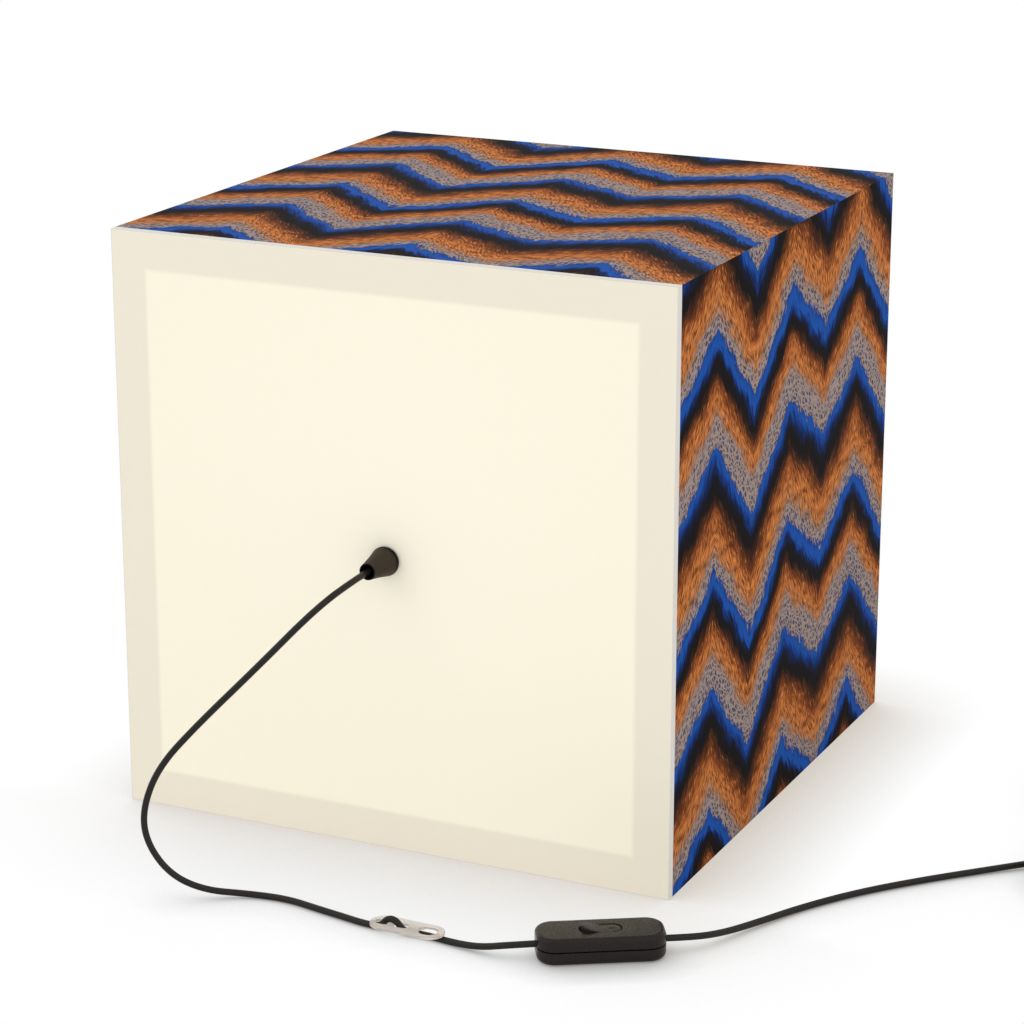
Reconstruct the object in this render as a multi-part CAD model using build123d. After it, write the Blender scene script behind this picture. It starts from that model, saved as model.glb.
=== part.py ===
"""Cube table lamp: a printed five-sheet shade, a pull-off back panel with the lampholder, and the cord set.

Millimetres. Origin at the middle of the cube's base, +Z up, back panel facing -Y, cord on the back.
"""
import os
from math import cos, degrees, pi, radians, sin, sqrt, tan

from build123d import *

# Shade and back panel
CUBE = 195.0
SHEET = 3.0
BACK_SHEET = 3.0
RIM_GAP = 0.1
FRAME_WIDTH = 9.0
FRAME_DEPTH = 10.0
FRAME_FIT = 0.3

# Cord
CORD_D = 2.1
CORD_GAP = 0.1
LEAD_D = 0.9
LEAD_PITCH = 1.05

# Gland, hollow nipple and its fixings
GLAND_BASE_D = 9.6
GLAND_END_D = 5.4
GLAND_LENGTH = 13.0
GLAND_LIP = 1.5
GLAND_WAIST_D = 7.2
GLAND_SOCKET = 4.0
GLAND_MOUTH_D = 4.8
GLAND_MOUTH_DEPTH = 3.0
GLAND_FOOT_ROUND = 1.0
NIPPLE_D = 7.0
NIPPLE_BORE = 4.2
THREAD_GAP = 0.1
PANEL_HOLE_GAP = 0.15
WASHER_D = 18.0
WASHER_T = 1.2
NUT_FLATS = 12.0
NUT_T = 4.0

# Lampholder for a 14 mm screw cap
HOLDER_D = 27.0
HOLDER_WALL = 2.0
CAP_LENGTH = 20.8
CAP_NOSE_D = 15.0
CAP_BOSS = 10.8
CAP_SHOULDER = 7.6
LEAD_ROOM = 6.0
LEAD_ROOM_WALL = 4.5
INSERT_LENGTH = 16.0
INSERT_GAP = 0.2
BODY_LENGTH = 30.0
SHELL_LENGTH = 15.0
SHELL_WALL = 0.45
CONTACT_D = 5.0
CONTACT_HEIGHT = 3.0
TERMINAL_SPREAD = 10.0
TERMINAL_DEPTH = 8.0
TERMINAL_GAP = 0.15

# Bulb
BULB_CAP_D = 13.9
BULB_CAP_FIT = 0.3
BULB_CAP_WALL = 0.5
BULB_CAP_LENGTH = 14.0
BULB_TIP_D = 4.6
BULB_TIP_T = 1.4
BULB_GLASS_T = 3.0
TOUCH_GAP = 0.1
SEAT_GAP = 0.05
NECK_OVERLAP = 3.0
NECK_WALL = 1.2
HOUSING_LENGTH = 31.0
HOUSING_WALL = 1.6
HOUSING_RIM = 3.0
HOUSING_WAIST_D = 25.5
HOUSING_WAIST_AT = 14.0
DOME_D = 45.0
DOME_WALL = 1.5
DOME_RIM_DROP = 8.5
LED_BOARD_T = 1.6
LED_BOARD_GAP = 0.4
LED_COUNT = 8
LED_CIRCLE_D = 22.0
LED_LENGTH = 3.5
LED_WIDTH = 2.8
LED_T = 0.7
DRIVER_WIDTH = 11.0
DRIVER_LENGTH = 18.0
DRIVER_T = 1.2

# Cord clip, lying on the cord
CLIP_X = 36.0
CLIP_Y = -155.4
CLIP_TURN = -1.0
CLIP_LENGTH = 24.8
CLIP_WIDTH = 9.2
CLIP_T = 0.8
CLIP_REST_GAP = 0.1
CLIP_BAR_AT = 7.1
CLIP_BAR = 1.6
CLIP_SLOT_LENGTH = 4.8
CLIP_SLOT_WIDTH = 3.2
HOOK_SLOT_LENGTH = 6.0
HOOK_SLOT_WIDTH = 5.4
HOOK_SLOT_EDGE = 2.3
ARCH_HALF_TOP = 1.5
ARCH_HALF_FOOT = 4.1
ARCH_GAP = 0.35

# In-line switch
SWITCH_X = 94.2
SWITCH_Y = -142.7
SWITCH_TURN = 31.0
SWITCH_LENGTH = 39.0
SWITCH_WIDTH = 15.5
SWITCH_HEIGHT = 8.6
SWITCH_CORNER = 5.6
SWITCH_TOP_EDGE = 1.6
SWITCH_BOTTOM_EDGE = 1.9
SWITCH_WALL = 1.2
SWITCH_SPLIT = 4.3
SPLIT_LINE = 0.45
LIP_HEIGHT = 1.0
LIP_WALL = 0.6
LIP_GAP = 0.1
CORD_IN_SWITCH = 4.2
CLAMP_LENGTH = 2.0
CLAMP_WIDTH = 8.0
POST_D = 3.8
POST_ALONG = 13.4
POST_ACROSS = -3.85
SCREW_D = 1.8
SCREW_HEAD_D = 3.2
SCREW_HEAD_T = 1.1
SCREW_SUNK = 0.4
SCREW_END = 6.4
SCREW_GAP = 0.05
STRIP_WIDTH = 1.6
STRIP_T = 0.5
STRIP_ACROSS = 1.5
STUD_D = 1.4
STUD_ALONG = 4.2
BLOCK_ALONG = 8.5
BLOCK_LENGTH = 4.0
BLOCK_WIDTH = 3.0
BLOCK_HEIGHT = 3.0
GRUB_D = 1.6
GRUB_LENGTH = 1.6
GRUB_PROUD = 0.4
NEUTRAL_ACROSS = 5.2

# Rocker
ROCKER_LENGTH = 12.3
ROCKER_WIDTH = 5.8
ROCKER_GAP_ENDS = 0.45
ROCKER_GAP_SIDES = 0.25
ROCKER_PIVOT_DROP = 1.6
ROCKER_VALLEY = 1.5
ROCKER_SIDE = 1.2
ROCKER_KEEL = 1.6
ROCKER_KEEL_LENGTH = 7.0
ROCKER_THROW = 15.0
ROCKER_EDGE = 0.35
PIVOT_D = 1.6
PIVOT_GAP = 0.06
CHEEK_T = 1.2
CHEEK_LENGTH = 4.6
CHEEK_DROP = 1.5
PIVOT_END_GAP = 0.1
BRIDGE_LENGTH = 9.0
BRIDGE_T = 0.4
MARK_LENGTH = 2.2
MARK_WIDTH = 0.4
MARK_DEPTH = 0.2
MARK_ALONG = 3.4

# Coil of spare cord, with its tie
COIL_X = 216.5
COIL_Y = -28.0
COIL_MIDDLE_D = 30.0
COIL_PITCH = 2.65
COIL_LAYERS = 4
COIL_START = 134.6
COIL_TURNS = 13.874
TIE_T = 0.5
TIE_WIDTH = 4.0
TIE_GAP = 0.35
TIE_FLOOR_GAP = 0.1
TIE_CORNER = 1.6
TIE_AT = -50.0

# Two-pin plug
PLUG_X = 198.0
PLUG_TAIL_Y = 0.0
RELIEF_LENGTH = 22.0
RELIEF_TAIL_D = 4.6
RELIEF_HEAD_D = 8.4
RELIEF_RIBS = 5
RELIEF_GROOVE = 0.6
PLUG_LENGTH = 36.0
PLUG_WIDTH = 34.0
PLUG_TAIL_WIDTH = 14.0
PLUG_T = 13.6
PLUG_TAIL_T = 11.0
PLUG_CORNER = 4.0
PLUG_MIDDLE_AT = 16.0
PLUG_MIDDLE_WIDTH = 28.4
PLUG_MIDDLE_T = 13.0
PIN_D = 4.0
PIN_LENGTH = 19.0
PIN_PITCH = 19.0
PIN_ROOT = 6.0
PIN_TIP_ROUND = 1.6
SLEEVE_BORE = 3.0
SLEEVE_LENGTH = 10.0

# Places that follow from the sizes above
HALF = CUBE / 2
LAMP_Z = CUBE / 2
CORD_R = CORD_D / 2
BACK_OUT = -HALF
BACK_IN = BACK_OUT + BACK_SHEET
RIM_Y = BACK_IN + RIM_GAP
GLAND_END = BACK_OUT - GLAND_LENGTH
NIPPLE_OUT = BACK_OUT - GLAND_SOCKET
NUT_Y = BACK_IN + WASHER_T
CAP_Y = NUT_Y + NUT_T
ROOM_Y = CAP_Y + CAP_BOSS
INSERT_Y = ROOM_Y + LEAD_ROOM
INSERT_FRONT = INSERT_Y + INSERT_LENGTH
BODY_Y = CAP_Y + CAP_LENGTH
MOUTH_Y = BODY_Y + BODY_LENGTH
CONTACT_FRONT = INSERT_FRONT + CONTACT_HEIGHT
SHELL_BORE = BULB_CAP_D + 2 * BULB_CAP_FIT
TIP_Y = CONTACT_FRONT + TOUCH_GAP
GLASS_Y = TIP_Y + BULB_TIP_T
BULB_CAP_Y = GLASS_Y + BULB_GLASS_T
BULB_CAP_END = BULB_CAP_Y + BULB_CAP_LENGTH
HOUSING_Y = BULB_CAP_END - NECK_OVERLAP
HOUSING_TOP = HOUSING_Y + HOUSING_LENGTH
DOME_Y = HOUSING_TOP + DOME_RIM_DROP
CLIP_BOTTOM = CORD_D + CLIP_REST_GAP
CLIP_TOP = CLIP_BOTTOM + CLIP_T
ARCH_TOP = CLIP_TOP + CORD_R + ARCH_GAP
CORD_Z = SWITCH_SPLIT + SPLIT_LINE / 2
ROOF_Z = SWITCH_HEIGHT - SWITCH_WALL
PIVOT_Z = SWITCH_HEIGHT - ROCKER_PIVOT_DROP
COIL_Z = TIE_T + TIE_FLOOR_GAP + CORD_R
PLUG_Z = PLUG_T / 2
PLUG_FRONT_Y = PLUG_TAIL_Y + RELIEF_LENGTH + PLUG_LENGTH
PARTS = {}


def turned(outline):
    """Solid of revolution about the lamp's axis, from (radius, y) points."""
    face = make_face(Polyline(*[(radius, y) for radius, y in outline], close=True))
    return Pos(0, 0, LAMP_Z) * revolve(face, Axis.Y)


def ring(outer_d, inner_d, y_start, y_end):
    """Plain tube along the lamp's axis."""
    inner, outer = inner_d / 2, outer_d / 2
    return turned([(inner, y_start), (outer, y_start), (outer, y_end), (inner, y_end)])


def disc(diameter, y_start, y_end):
    """Plain round bar along the lamp's axis."""
    return turned([(0, y_start), (diameter / 2, y_start), (diameter / 2, y_end), (0, y_end)])


def block(low, high):
    """Box between two corners."""
    size = [b - a for a, b in zip(low, high)]
    middle = [(a + b) / 2 for a, b in zip(low, high)]
    return Pos(*middle) * Box(*size)


def upright(diameter, x, y, z_start, z_end):
    """Round bar standing along Z."""
    return Pos(x, y, (z_start + z_end) / 2) * Cylinder(diameter / 2, z_end - z_start)


def stadium(length, width, z_start, z_end):
    """Upright slot-shaped bar, long side along X."""
    return Pos(0, 0, z_start) * extrude(SlotOverall(length, width), z_end - z_start)


def tube(name, points, diameter):
    """Tube along straight runs joined by the largest tangent arcs that the runs allow."""
    route = [Vector(*point) for point in points]
    runs = [b - a for a, b in zip(route, route[1:])]
    radii = []
    for before, after in zip(runs, runs[1:]):
        half_turn = radians(before.get_angle(after)) / 2
        radii.append(0.45 * min(before.length, after.length) / tan(half_turn))
    path = FilletPolyline(*route, radius=radii)
    section = Plane(origin=path @ 0, z_dir=path % 0) * Circle(diameter / 2)
    solid = sweep(section, path=path)
    ideal = pi * diameter ** 2 / 4 * path.length
    print(f"{name}: length {path.length:.1f}, volume ratio {solid.volume / ideal:.4f},",
          "radii", " ".join(f"{radius:.1f}" for radius in radii))
    return solid


# Shade

def side_sheet(turn):
    """Sheet with mitred edges towards its neighbours and a square edge at the open back."""
    outer_long = HALF - RIM_Y
    inner_long = outer_long - SHEET
    outer = Pos(0, RIM_Y + outer_long / 2, HALF) * Rectangle(CUBE, outer_long)
    inner = Pos(0, RIM_Y + inner_long / 2, HALF - SHEET) * Rectangle(CUBE - 2 * SHEET, inner_long)
    return Pos(0, 0, LAMP_Z) * Rot(0, turn, 0) * loft([inner, outer], ruled=True)


def front_sheet():
    """Sheet opposite the back panel, mitred on all four edges."""
    outer = Pos(0, HALF, LAMP_Z) * Rot(90, 0, 0) * Rectangle(CUBE, CUBE)
    inner = Pos(0, HALF - SHEET, LAMP_Z) * Rot(90, 0, 0) * Rectangle(CUBE - 2 * SHEET, CUBE - 2 * SHEET)
    return loft([inner, outer], ruled=True)


def make_shade():
    """Five printed sheets."""
    for name, turn in (("top", 0), ("right", 90), ("bottom", 180), ("left", 270)):
        PARTS[f"shade_{name}_sheet"] = side_sheet(turn)
    PARTS["shade_front_sheet"] = front_sheet()


# Back panel and its locating frame

def make_back():
    """Back panel with its cord hole, and four strips that locate it inside the shade."""
    panel = block((-HALF, BACK_OUT, 0), (HALF, BACK_IN, CUBE))
    PARTS["back_panel"] = panel - disc(NIPPLE_D + 2 * PANEL_HOLE_GAP, BACK_OUT, BACK_IN)
    reach = HALF - SHEET - FRAME_FIT
    inner = reach - FRAME_WIDTH
    deep = BACK_IN + FRAME_DEPTH
    long_strip = block((-reach, BACK_IN, inner), (reach, deep, reach))
    short_strip = block((-inner, BACK_IN, inner), (inner, deep, reach))
    for name, strip, turn in (("top", long_strip, 0), ("bottom", long_strip, 180),
                              ("right", short_strip, 90), ("left", short_strip, 270)):
        PARTS[f"back_frame_{name}"] = Pos(0, 0, LAMP_Z) * Rot(0, turn, 0) * strip


# Gland, nipple and lampholder

def gland():
    """Bell-shaped rubber gland, screwed on the nipple's outer end, with a flared mouth for the cord."""
    socket_r = NIPPLE_D / 2 + THREAD_GAP
    bore_r = CORD_R + CORD_GAP
    base_r = GLAND_BASE_D / 2
    end_r = GLAND_END_D / 2
    lip_y = BACK_OUT - GLAND_LIP
    waist_y = (lip_y + GLAND_END) / 2
    waist_r = GLAND_WAIST_D / 2
    mouth_y = GLAND_END + GLAND_MOUTH_DEPTH
    foot_r = base_r - GLAND_FOOT_ROUND
    foot_y = BACK_OUT - GLAND_FOOT_ROUND
    bend = GLAND_FOOT_ROUND * sqrt(0.5)
    inside = Polyline((end_r, GLAND_END), (GLAND_MOUTH_D / 2, GLAND_END), (bore_r, mouth_y),
                      (bore_r, NIPPLE_OUT), (socket_r, NIPPLE_OUT), (socket_r, BACK_OUT),
                      (foot_r, BACK_OUT))
    foot = ThreePointArc((foot_r, BACK_OUT), (foot_r + bend, foot_y + bend), (base_r, foot_y))
    lip = Line((base_r, foot_y), (base_r, lip_y))
    bell = ThreePointArc((base_r, lip_y), (waist_r, waist_y), (end_r, GLAND_END))
    return Pos(0, 0, LAMP_Z) * revolve(make_face([inside, foot, lip, bell]), Axis.Y)


def lock_nut():
    """Hexagon nut on the nipple, inside the panel."""
    hexagon = RegularPolygon(NUT_FLATS / 2, 6, major_radius=False)
    bar = Pos(0, CAP_Y, LAMP_Z) * Rot(90, 0, 0) * extrude(hexagon, NUT_T)
    return bar - disc(NIPPLE_D + 2 * THREAD_GAP, NUT_Y, CAP_Y)


def holder_cap():
    """Rear cap of the lampholder, screwed on the nipple, with room for the leads."""
    bore_r = NIPPLE_D / 2 + THREAD_GAP
    outer_r = HOLDER_D / 2
    room_r = outer_r - LEAD_ROOM_WALL
    seat_r = outer_r - HOLDER_WALL
    shoulder_y = CAP_Y + CAP_SHOULDER
    return turned([(bore_r, CAP_Y), (CAP_NOSE_D / 2, CAP_Y), (outer_r, shoulder_y), (outer_r, BODY_Y),
                   (seat_r, BODY_Y), (seat_r, INSERT_Y), (room_r, INSERT_Y), (room_r, ROOM_Y),
                   (bore_r, ROOM_Y)])


def holder_body():
    """Front sleeve of the lampholder, with a ledge that traps the insert."""
    outer_r = HOLDER_D / 2
    seat_r = outer_r - HOLDER_WALL
    mouth_r = outer_r - LEAD_ROOM_WALL
    return turned([(seat_r, BODY_Y), (outer_r, BODY_Y), (outer_r, MOUTH_Y), (mouth_r, MOUTH_Y),
                   (mouth_r, INSERT_FRONT), (seat_r, INSERT_FRONT)])


def terminal_place(side):
    """X of one push-in terminal; side is -1 or 1."""
    return side * TERMINAL_SPREAD / 2


def holder_insert():
    """Insulating insert with two push-in terminal holes at its rear."""
    insert = disc(HOLDER_D - 2 * (HOLDER_WALL + INSERT_GAP), INSERT_Y, INSERT_FRONT)
    hole = disc(LEAD_D + 2 * TERMINAL_GAP, INSERT_Y, INSERT_Y + TERMINAL_DEPTH)
    for side in (-1, 1):
        insert -= Pos(terminal_place(side), 0, 0) * hole
    return insert


def holder_lead(name, side):
    """Insulated lead from the cord's end in the nipple to its terminal."""
    start = side * LEAD_PITCH / 2
    end = terminal_place(side)
    points = [(start, NIPPLE_OUT, LAMP_Z), (start, ROOM_Y - 10.0, LAMP_Z - 0.2),
              (start, ROOM_Y + 1.0, LAMP_Z), (end, INSERT_Y - 1.6, LAMP_Z), (end, INSERT_Y + 4.0, LAMP_Z)]
    return tube(name, points, LEAD_D)


def make_holder():
    """Everything on the lamp's axis that stays on the back panel."""
    PARTS["cord_gland"] = gland()
    PARTS["hollow_nipple"] = ring(NIPPLE_D, NIPPLE_BORE, NIPPLE_OUT, ROOM_Y)
    PARTS["panel_washer"] = ring(WASHER_D, NIPPLE_D + 2 * THREAD_GAP, BACK_IN, NUT_Y)
    PARTS["lock_nut"] = lock_nut()
    PARTS["holder_cap"] = holder_cap()
    PARTS["holder_body"] = holder_body()
    PARTS["holder_insert"] = holder_insert()
    PARTS["holder_screw_shell"] = ring(SHELL_BORE + 2 * SHELL_WALL, SHELL_BORE, INSERT_FRONT,
                                       INSERT_FRONT + SHELL_LENGTH)
    PARTS["holder_centre_contact"] = disc(CONTACT_D, INSERT_FRONT, CONTACT_FRONT)
    PARTS["holder_lead_live"] = holder_lead("holder_lead_live", -1)
    PARTS["holder_lead_neutral"] = holder_lead("holder_lead_neutral", 1)


# Bulb

def dome_radius(y, radius):
    """Radius of the dome's sphere, of the given size, at a place along the axis."""
    return sqrt(radius ** 2 - (y - DOME_Y) ** 2)


def bulb_housing():
    """Hollow flared housing between the cap and the dome."""
    neck_in = BULB_CAP_D / 2 + SEAT_GAP
    neck_out = neck_in + NECK_WALL
    rim_out = dome_radius(HOUSING_TOP, DOME_D / 2)
    rim_in = rim_out - HOUSING_RIM
    waist_y = HOUSING_Y + HOUSING_WAIST_AT
    waist_out = HOUSING_WAIST_D / 2
    floor_y = BULB_CAP_END + HOUSING_WALL
    lines = Polyline((neck_out, HOUSING_Y), (neck_in, HOUSING_Y), (neck_in, BULB_CAP_END),
                     (neck_in - NECK_WALL, BULB_CAP_END), (neck_in - NECK_WALL, floor_y))
    inner = ThreePointArc((neck_in - NECK_WALL, floor_y), (waist_out - 1.5 * HOUSING_WALL, waist_y),
                          (rim_in, HOUSING_TOP))
    rim = Line((rim_in, HOUSING_TOP), (rim_out, HOUSING_TOP))
    outer = ThreePointArc((rim_out, HOUSING_TOP), (waist_out, waist_y), (neck_out, HOUSING_Y))
    return Pos(0, 0, LAMP_Z) * revolve(make_face([lines, inner, rim, outer]), Axis.Y)


def bulb_dome():
    """Frosted dome, hollow, on the housing's rim."""
    shell = Sphere(DOME_D / 2) - Sphere(DOME_D / 2 - DOME_WALL)
    keep = block((-DOME_D, HOUSING_TOP, -DOME_D), (DOME_D, HOUSING_TOP + DOME_D, DOME_D))
    return Pos(0, 0, LAMP_Z) * ((Pos(0, DOME_Y, 0) * shell) & keep)


def led_board_d():
    """Diameter of the board that drops inside the dome and rests on the housing's rim."""
    return 2 * (dome_radius(HOUSING_TOP, DOME_D / 2 - DOME_WALL) - LED_BOARD_GAP)


def led_chips():
    """Ring of emitters on the board."""
    face_y = HOUSING_TOP + LED_BOARD_T
    chip = block((LED_CIRCLE_D / 2 - LED_LENGTH / 2, face_y, -LED_WIDTH / 2),
                 (LED_CIRCLE_D / 2 + LED_LENGTH / 2, face_y + LED_T, LED_WIDTH / 2))
    chips = [Pos(0, 0, LAMP_Z) * Rot(0, 360 * index / LED_COUNT, 0) * chip for index in range(LED_COUNT)]
    return Compound(children=[part.solid() for part in chips])


def make_bulb():
    """Lamp bulb with a 14 mm screw cap."""
    cap_r = BULB_CAP_D / 2
    PARTS["bulb_tip_contact"] = disc(BULB_TIP_D, TIP_Y, GLASS_Y)
    cone = [(0, GLASS_Y), (BULB_TIP_D / 2, GLASS_Y), (cap_r - BULB_CAP_WALL, BULB_CAP_Y), (0, BULB_CAP_Y)]
    PARTS["bulb_insulator"] = turned(cone)
    PARTS["bulb_screw_cap"] = ring(BULB_CAP_D, BULB_CAP_D - 4 * BULB_CAP_WALL, BULB_CAP_Y, BULB_CAP_END)
    PARTS["bulb_housing"] = bulb_housing()
    PARTS["bulb_dome"] = bulb_dome()
    PARTS["bulb_led_board"] = disc(led_board_d(), HOUSING_TOP, HOUSING_TOP + LED_BOARD_T)
    PARTS["bulb_led_chips"] = led_chips()
    low = (-DRIVER_WIDTH / 2, HOUSING_TOP - DRIVER_LENGTH, LAMP_Z - DRIVER_T / 2)
    PARTS["bulb_driver_board"] = block(low, (DRIVER_WIDTH / 2, HOUSING_TOP, LAMP_Z + DRIVER_T / 2))


# Cord clip

def clip_place():
    """Frame of the clip: its left end at the origin, X along the clip."""
    return Pos(CLIP_X, CLIP_Y, 0) * Rot(0, 0, CLIP_TURN) * Pos(-CLIP_LENGTH / 2, 0, 0)


def cord_clip():
    """Clear plate with two threading slots, a bar between them and a slot to hang it by."""
    plate = Pos(CLIP_LENGTH / 2, 0, 0) * stadium(CLIP_LENGTH, CLIP_WIDTH, CLIP_BOTTOM, CLIP_TOP)
    slot_offset = (CLIP_BAR + CLIP_SLOT_LENGTH) / 2
    for along in (CLIP_BAR_AT - slot_offset, CLIP_BAR_AT + slot_offset):
        plate -= Pos(along, 0, 0) * stadium(CLIP_SLOT_LENGTH, CLIP_SLOT_WIDTH, CLIP_BOTTOM, CLIP_TOP)
    hook_at = CLIP_LENGTH - HOOK_SLOT_EDGE - HOOK_SLOT_LENGTH / 2
    plate -= Pos(hook_at, 0, 0) * stadium(HOOK_SLOT_LENGTH, HOOK_SLOT_WIDTH, CLIP_BOTTOM, CLIP_TOP)
    return clip_place() * plate


# In-line switch

def switch_place():
    """Frame of the switch: middle of its base at the origin, X along the switch."""
    return Pos(SWITCH_X, SWITCH_Y, 0) * Rot(0, 0, SWITCH_TURN)


def switch_outside():
    """Rounded outer form of the switch."""
    plan = RectangleRounded(SWITCH_LENGTH, SWITCH_WIDTH, SWITCH_CORNER)
    form = extrude(plan, SWITCH_HEIGHT)
    form = fillet(form.faces().sort_by(Axis.Z)[-1].edges(), SWITCH_TOP_EDGE)
    return fillet(form.faces().sort_by(Axis.Z)[0].edges(), SWITCH_BOTTOM_EDGE)


def switch_inside(wall, z_start, z_end):
    """Space inside the switch at a distance from its outer wall."""
    plan = RectangleRounded(SWITCH_LENGTH - 2 * wall, SWITCH_WIDTH - 2 * wall, SWITCH_CORNER - wall)
    return Pos(0, 0, z_start) * extrude(plan, z_end - z_start)


def cord_passage():
    """Hole along the switch for the cord, through both ends."""
    return Pos(0, 0, CORD_Z) * Rot(0, 90, 0) * Cylinder(CORD_R + CORD_GAP, SWITCH_LENGTH)


def post_places():
    """Middle points of the two screw posts."""
    return [(-POST_ALONG, POST_ACROSS), (POST_ALONG, POST_ACROSS)]


def switch_base():
    """Lower shell, with screw posts and a lip inside the split line."""
    lower = block((-SWITCH_LENGTH, -SWITCH_WIDTH, 0), (SWITCH_LENGTH, SWITCH_WIDTH, SWITCH_SPLIT))
    shell = (switch_outside() & lower) - switch_inside(SWITCH_WALL, SWITCH_WALL, SWITCH_HEIGHT)
    lip_wall = SWITCH_WALL + LIP_GAP
    lip = switch_inside(lip_wall, SWITCH_WALL, SWITCH_SPLIT + LIP_HEIGHT)
    shell += lip - switch_inside(lip_wall + LIP_WALL, SWITCH_WALL, SWITCH_HEIGHT)
    shell += switch_inside(SWITCH_WALL, SWITCH_WALL, SWITCH_WALL + STRIP_T) - switch_inside(
        lip_wall, SWITCH_WALL, SWITCH_HEIGHT)
    for x, y in post_places():
        shell += upright(POST_D, x, y, SWITCH_WALL, SWITCH_SPLIT)
        shell -= upright(SCREW_D + 2 * SCREW_GAP, x, y, 0, SWITCH_SPLIT)
        shell -= upright(SCREW_HEAD_D + 4 * SCREW_GAP, x, y, 0, SCREW_SUNK + SCREW_HEAD_T)
    return shell - cord_passage()


def rocker_opening():
    """Slot in the cover for the rocker."""
    width = ROCKER_WIDTH + 2 * ROCKER_GAP_SIDES
    return stadium(ROCKER_LENGTH + 2 * ROCKER_GAP_ENDS, width, PIVOT_Z, SWITCH_HEIGHT)


def across_bar(diameter, length):
    """Round bar across the switch at the rocker's pivot."""
    return Pos(0, 0, PIVOT_Z) * Rot(90, 0, 0) * Cylinder(diameter / 2, length)


def cheek_outer():
    """Distance from the middle of the switch to the outer face of a pivot cheek."""
    return ROCKER_WIDTH / 2 + ROCKER_GAP_SIDES + CHEEK_T


def switch_cover():
    """Upper shell, with the rocker's slot and pivot cheeks, and posts down to the lower shell."""
    start = SWITCH_SPLIT + SPLIT_LINE
    over = switch_outside() & block((-SWITCH_LENGTH, -SWITCH_WIDTH, start),
                                    (SWITCH_LENGTH, SWITCH_WIDTH, SWITCH_HEIGHT))
    shell = over - switch_inside(SWITCH_WALL, 0, ROOF_Z)
    for x, y in post_places():
        shell += upright(POST_D, x, y, SWITCH_SPLIT, ROOF_Z)
        shell -= upright(SCREW_D + 2 * SCREW_GAP, x, y, SWITCH_SPLIT, SCREW_END + SCREW_GAP)
    outer = cheek_outer()
    for side in (-1, 1):
        near, far = sorted((side * (outer - CHEEK_T), side * outer))
        shell += block((-CHEEK_LENGTH / 2, near, PIVOT_Z - CHEEK_DROP), (CHEEK_LENGTH / 2, far, ROOF_Z))
    shell -= rocker_opening()
    shell -= across_bar(PIVOT_D + 2 * PIVOT_GAP, 2 * outer)
    return shell - cord_passage()


def switch_screws():
    """Two countersunk fixing screws, driven from below."""
    screws = []
    for x, y in post_places():
        head = upright(SCREW_HEAD_D, x, y, SCREW_SUNK, SCREW_SUNK + SCREW_HEAD_T)
        screws.append((head + upright(SCREW_D, x, y, SCREW_SUNK, SCREW_END)).solid())
    return Compound(children=screws)


def switch_clamps():
    """Two bars in the cover that hold the cord down."""
    middle = SWITCH_LENGTH / 2 - CORD_IN_SWITCH + CLAMP_LENGTH / 2
    low = (middle - CLAMP_LENGTH / 2, -CLAMP_WIDTH / 2, CORD_Z + CORD_R + CORD_GAP / 2)
    bar = block(low, (middle + CLAMP_LENGTH / 2, CLAMP_WIDTH / 2, ROOF_Z))
    return Compound(children=[bar.solid(), (Rot(0, 0, 180) * bar).solid()])


def stud_top():
    """Height of the fixed contacts, just under the pressed end of the bridge."""
    tilt = radians(ROCKER_THROW / 2)
    drop = BRIDGE_LENGTH / 2 * sin(tilt) + (ROCKER_KEEL + BRIDGE_T) * cos(tilt)
    return PIVOT_Z - drop - TOUCH_GAP


def contact_strip(side):
    """Fixed contact: a strip from one terminal block to a stud under the rocker's pressed end."""
    across = side * STRIP_ACROSS
    ends = sorted((side * (BLOCK_ALONG + BLOCK_LENGTH / 2), STUD_ALONG - side * STRIP_WIDTH / 2))
    strip = block((ends[0], across - STRIP_WIDTH / 2, SWITCH_WALL),
                  (ends[1], across + STRIP_WIDTH / 2, SWITCH_WALL + STRIP_T))
    return strip + upright(STUD_D, STUD_ALONG, across, SWITCH_WALL, stud_top())


def terminal_block(side):
    """Brass block on the outer end of a contact strip."""
    across = side * STRIP_ACROSS
    low = SWITCH_WALL + STRIP_T
    top = low + BLOCK_HEIGHT
    ends = sorted((side * (BLOCK_ALONG - BLOCK_LENGTH / 2), side * (BLOCK_ALONG + BLOCK_LENGTH / 2)))
    body = block((ends[0], across - BLOCK_WIDTH / 2, low), (ends[1], across + BLOCK_WIDTH / 2, top))
    return body - upright(GRUB_D + 2 * SCREW_GAP, side * BLOCK_ALONG, across, top - GRUB_LENGTH, top)


def terminal_grub(side):
    """Grub screw in a terminal block."""
    top = SWITCH_WALL + STRIP_T + BLOCK_HEIGHT
    across = side * STRIP_ACROSS
    return upright(GRUB_D, side * BLOCK_ALONG, across, top - GRUB_LENGTH, top + GRUB_PROUD)


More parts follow.
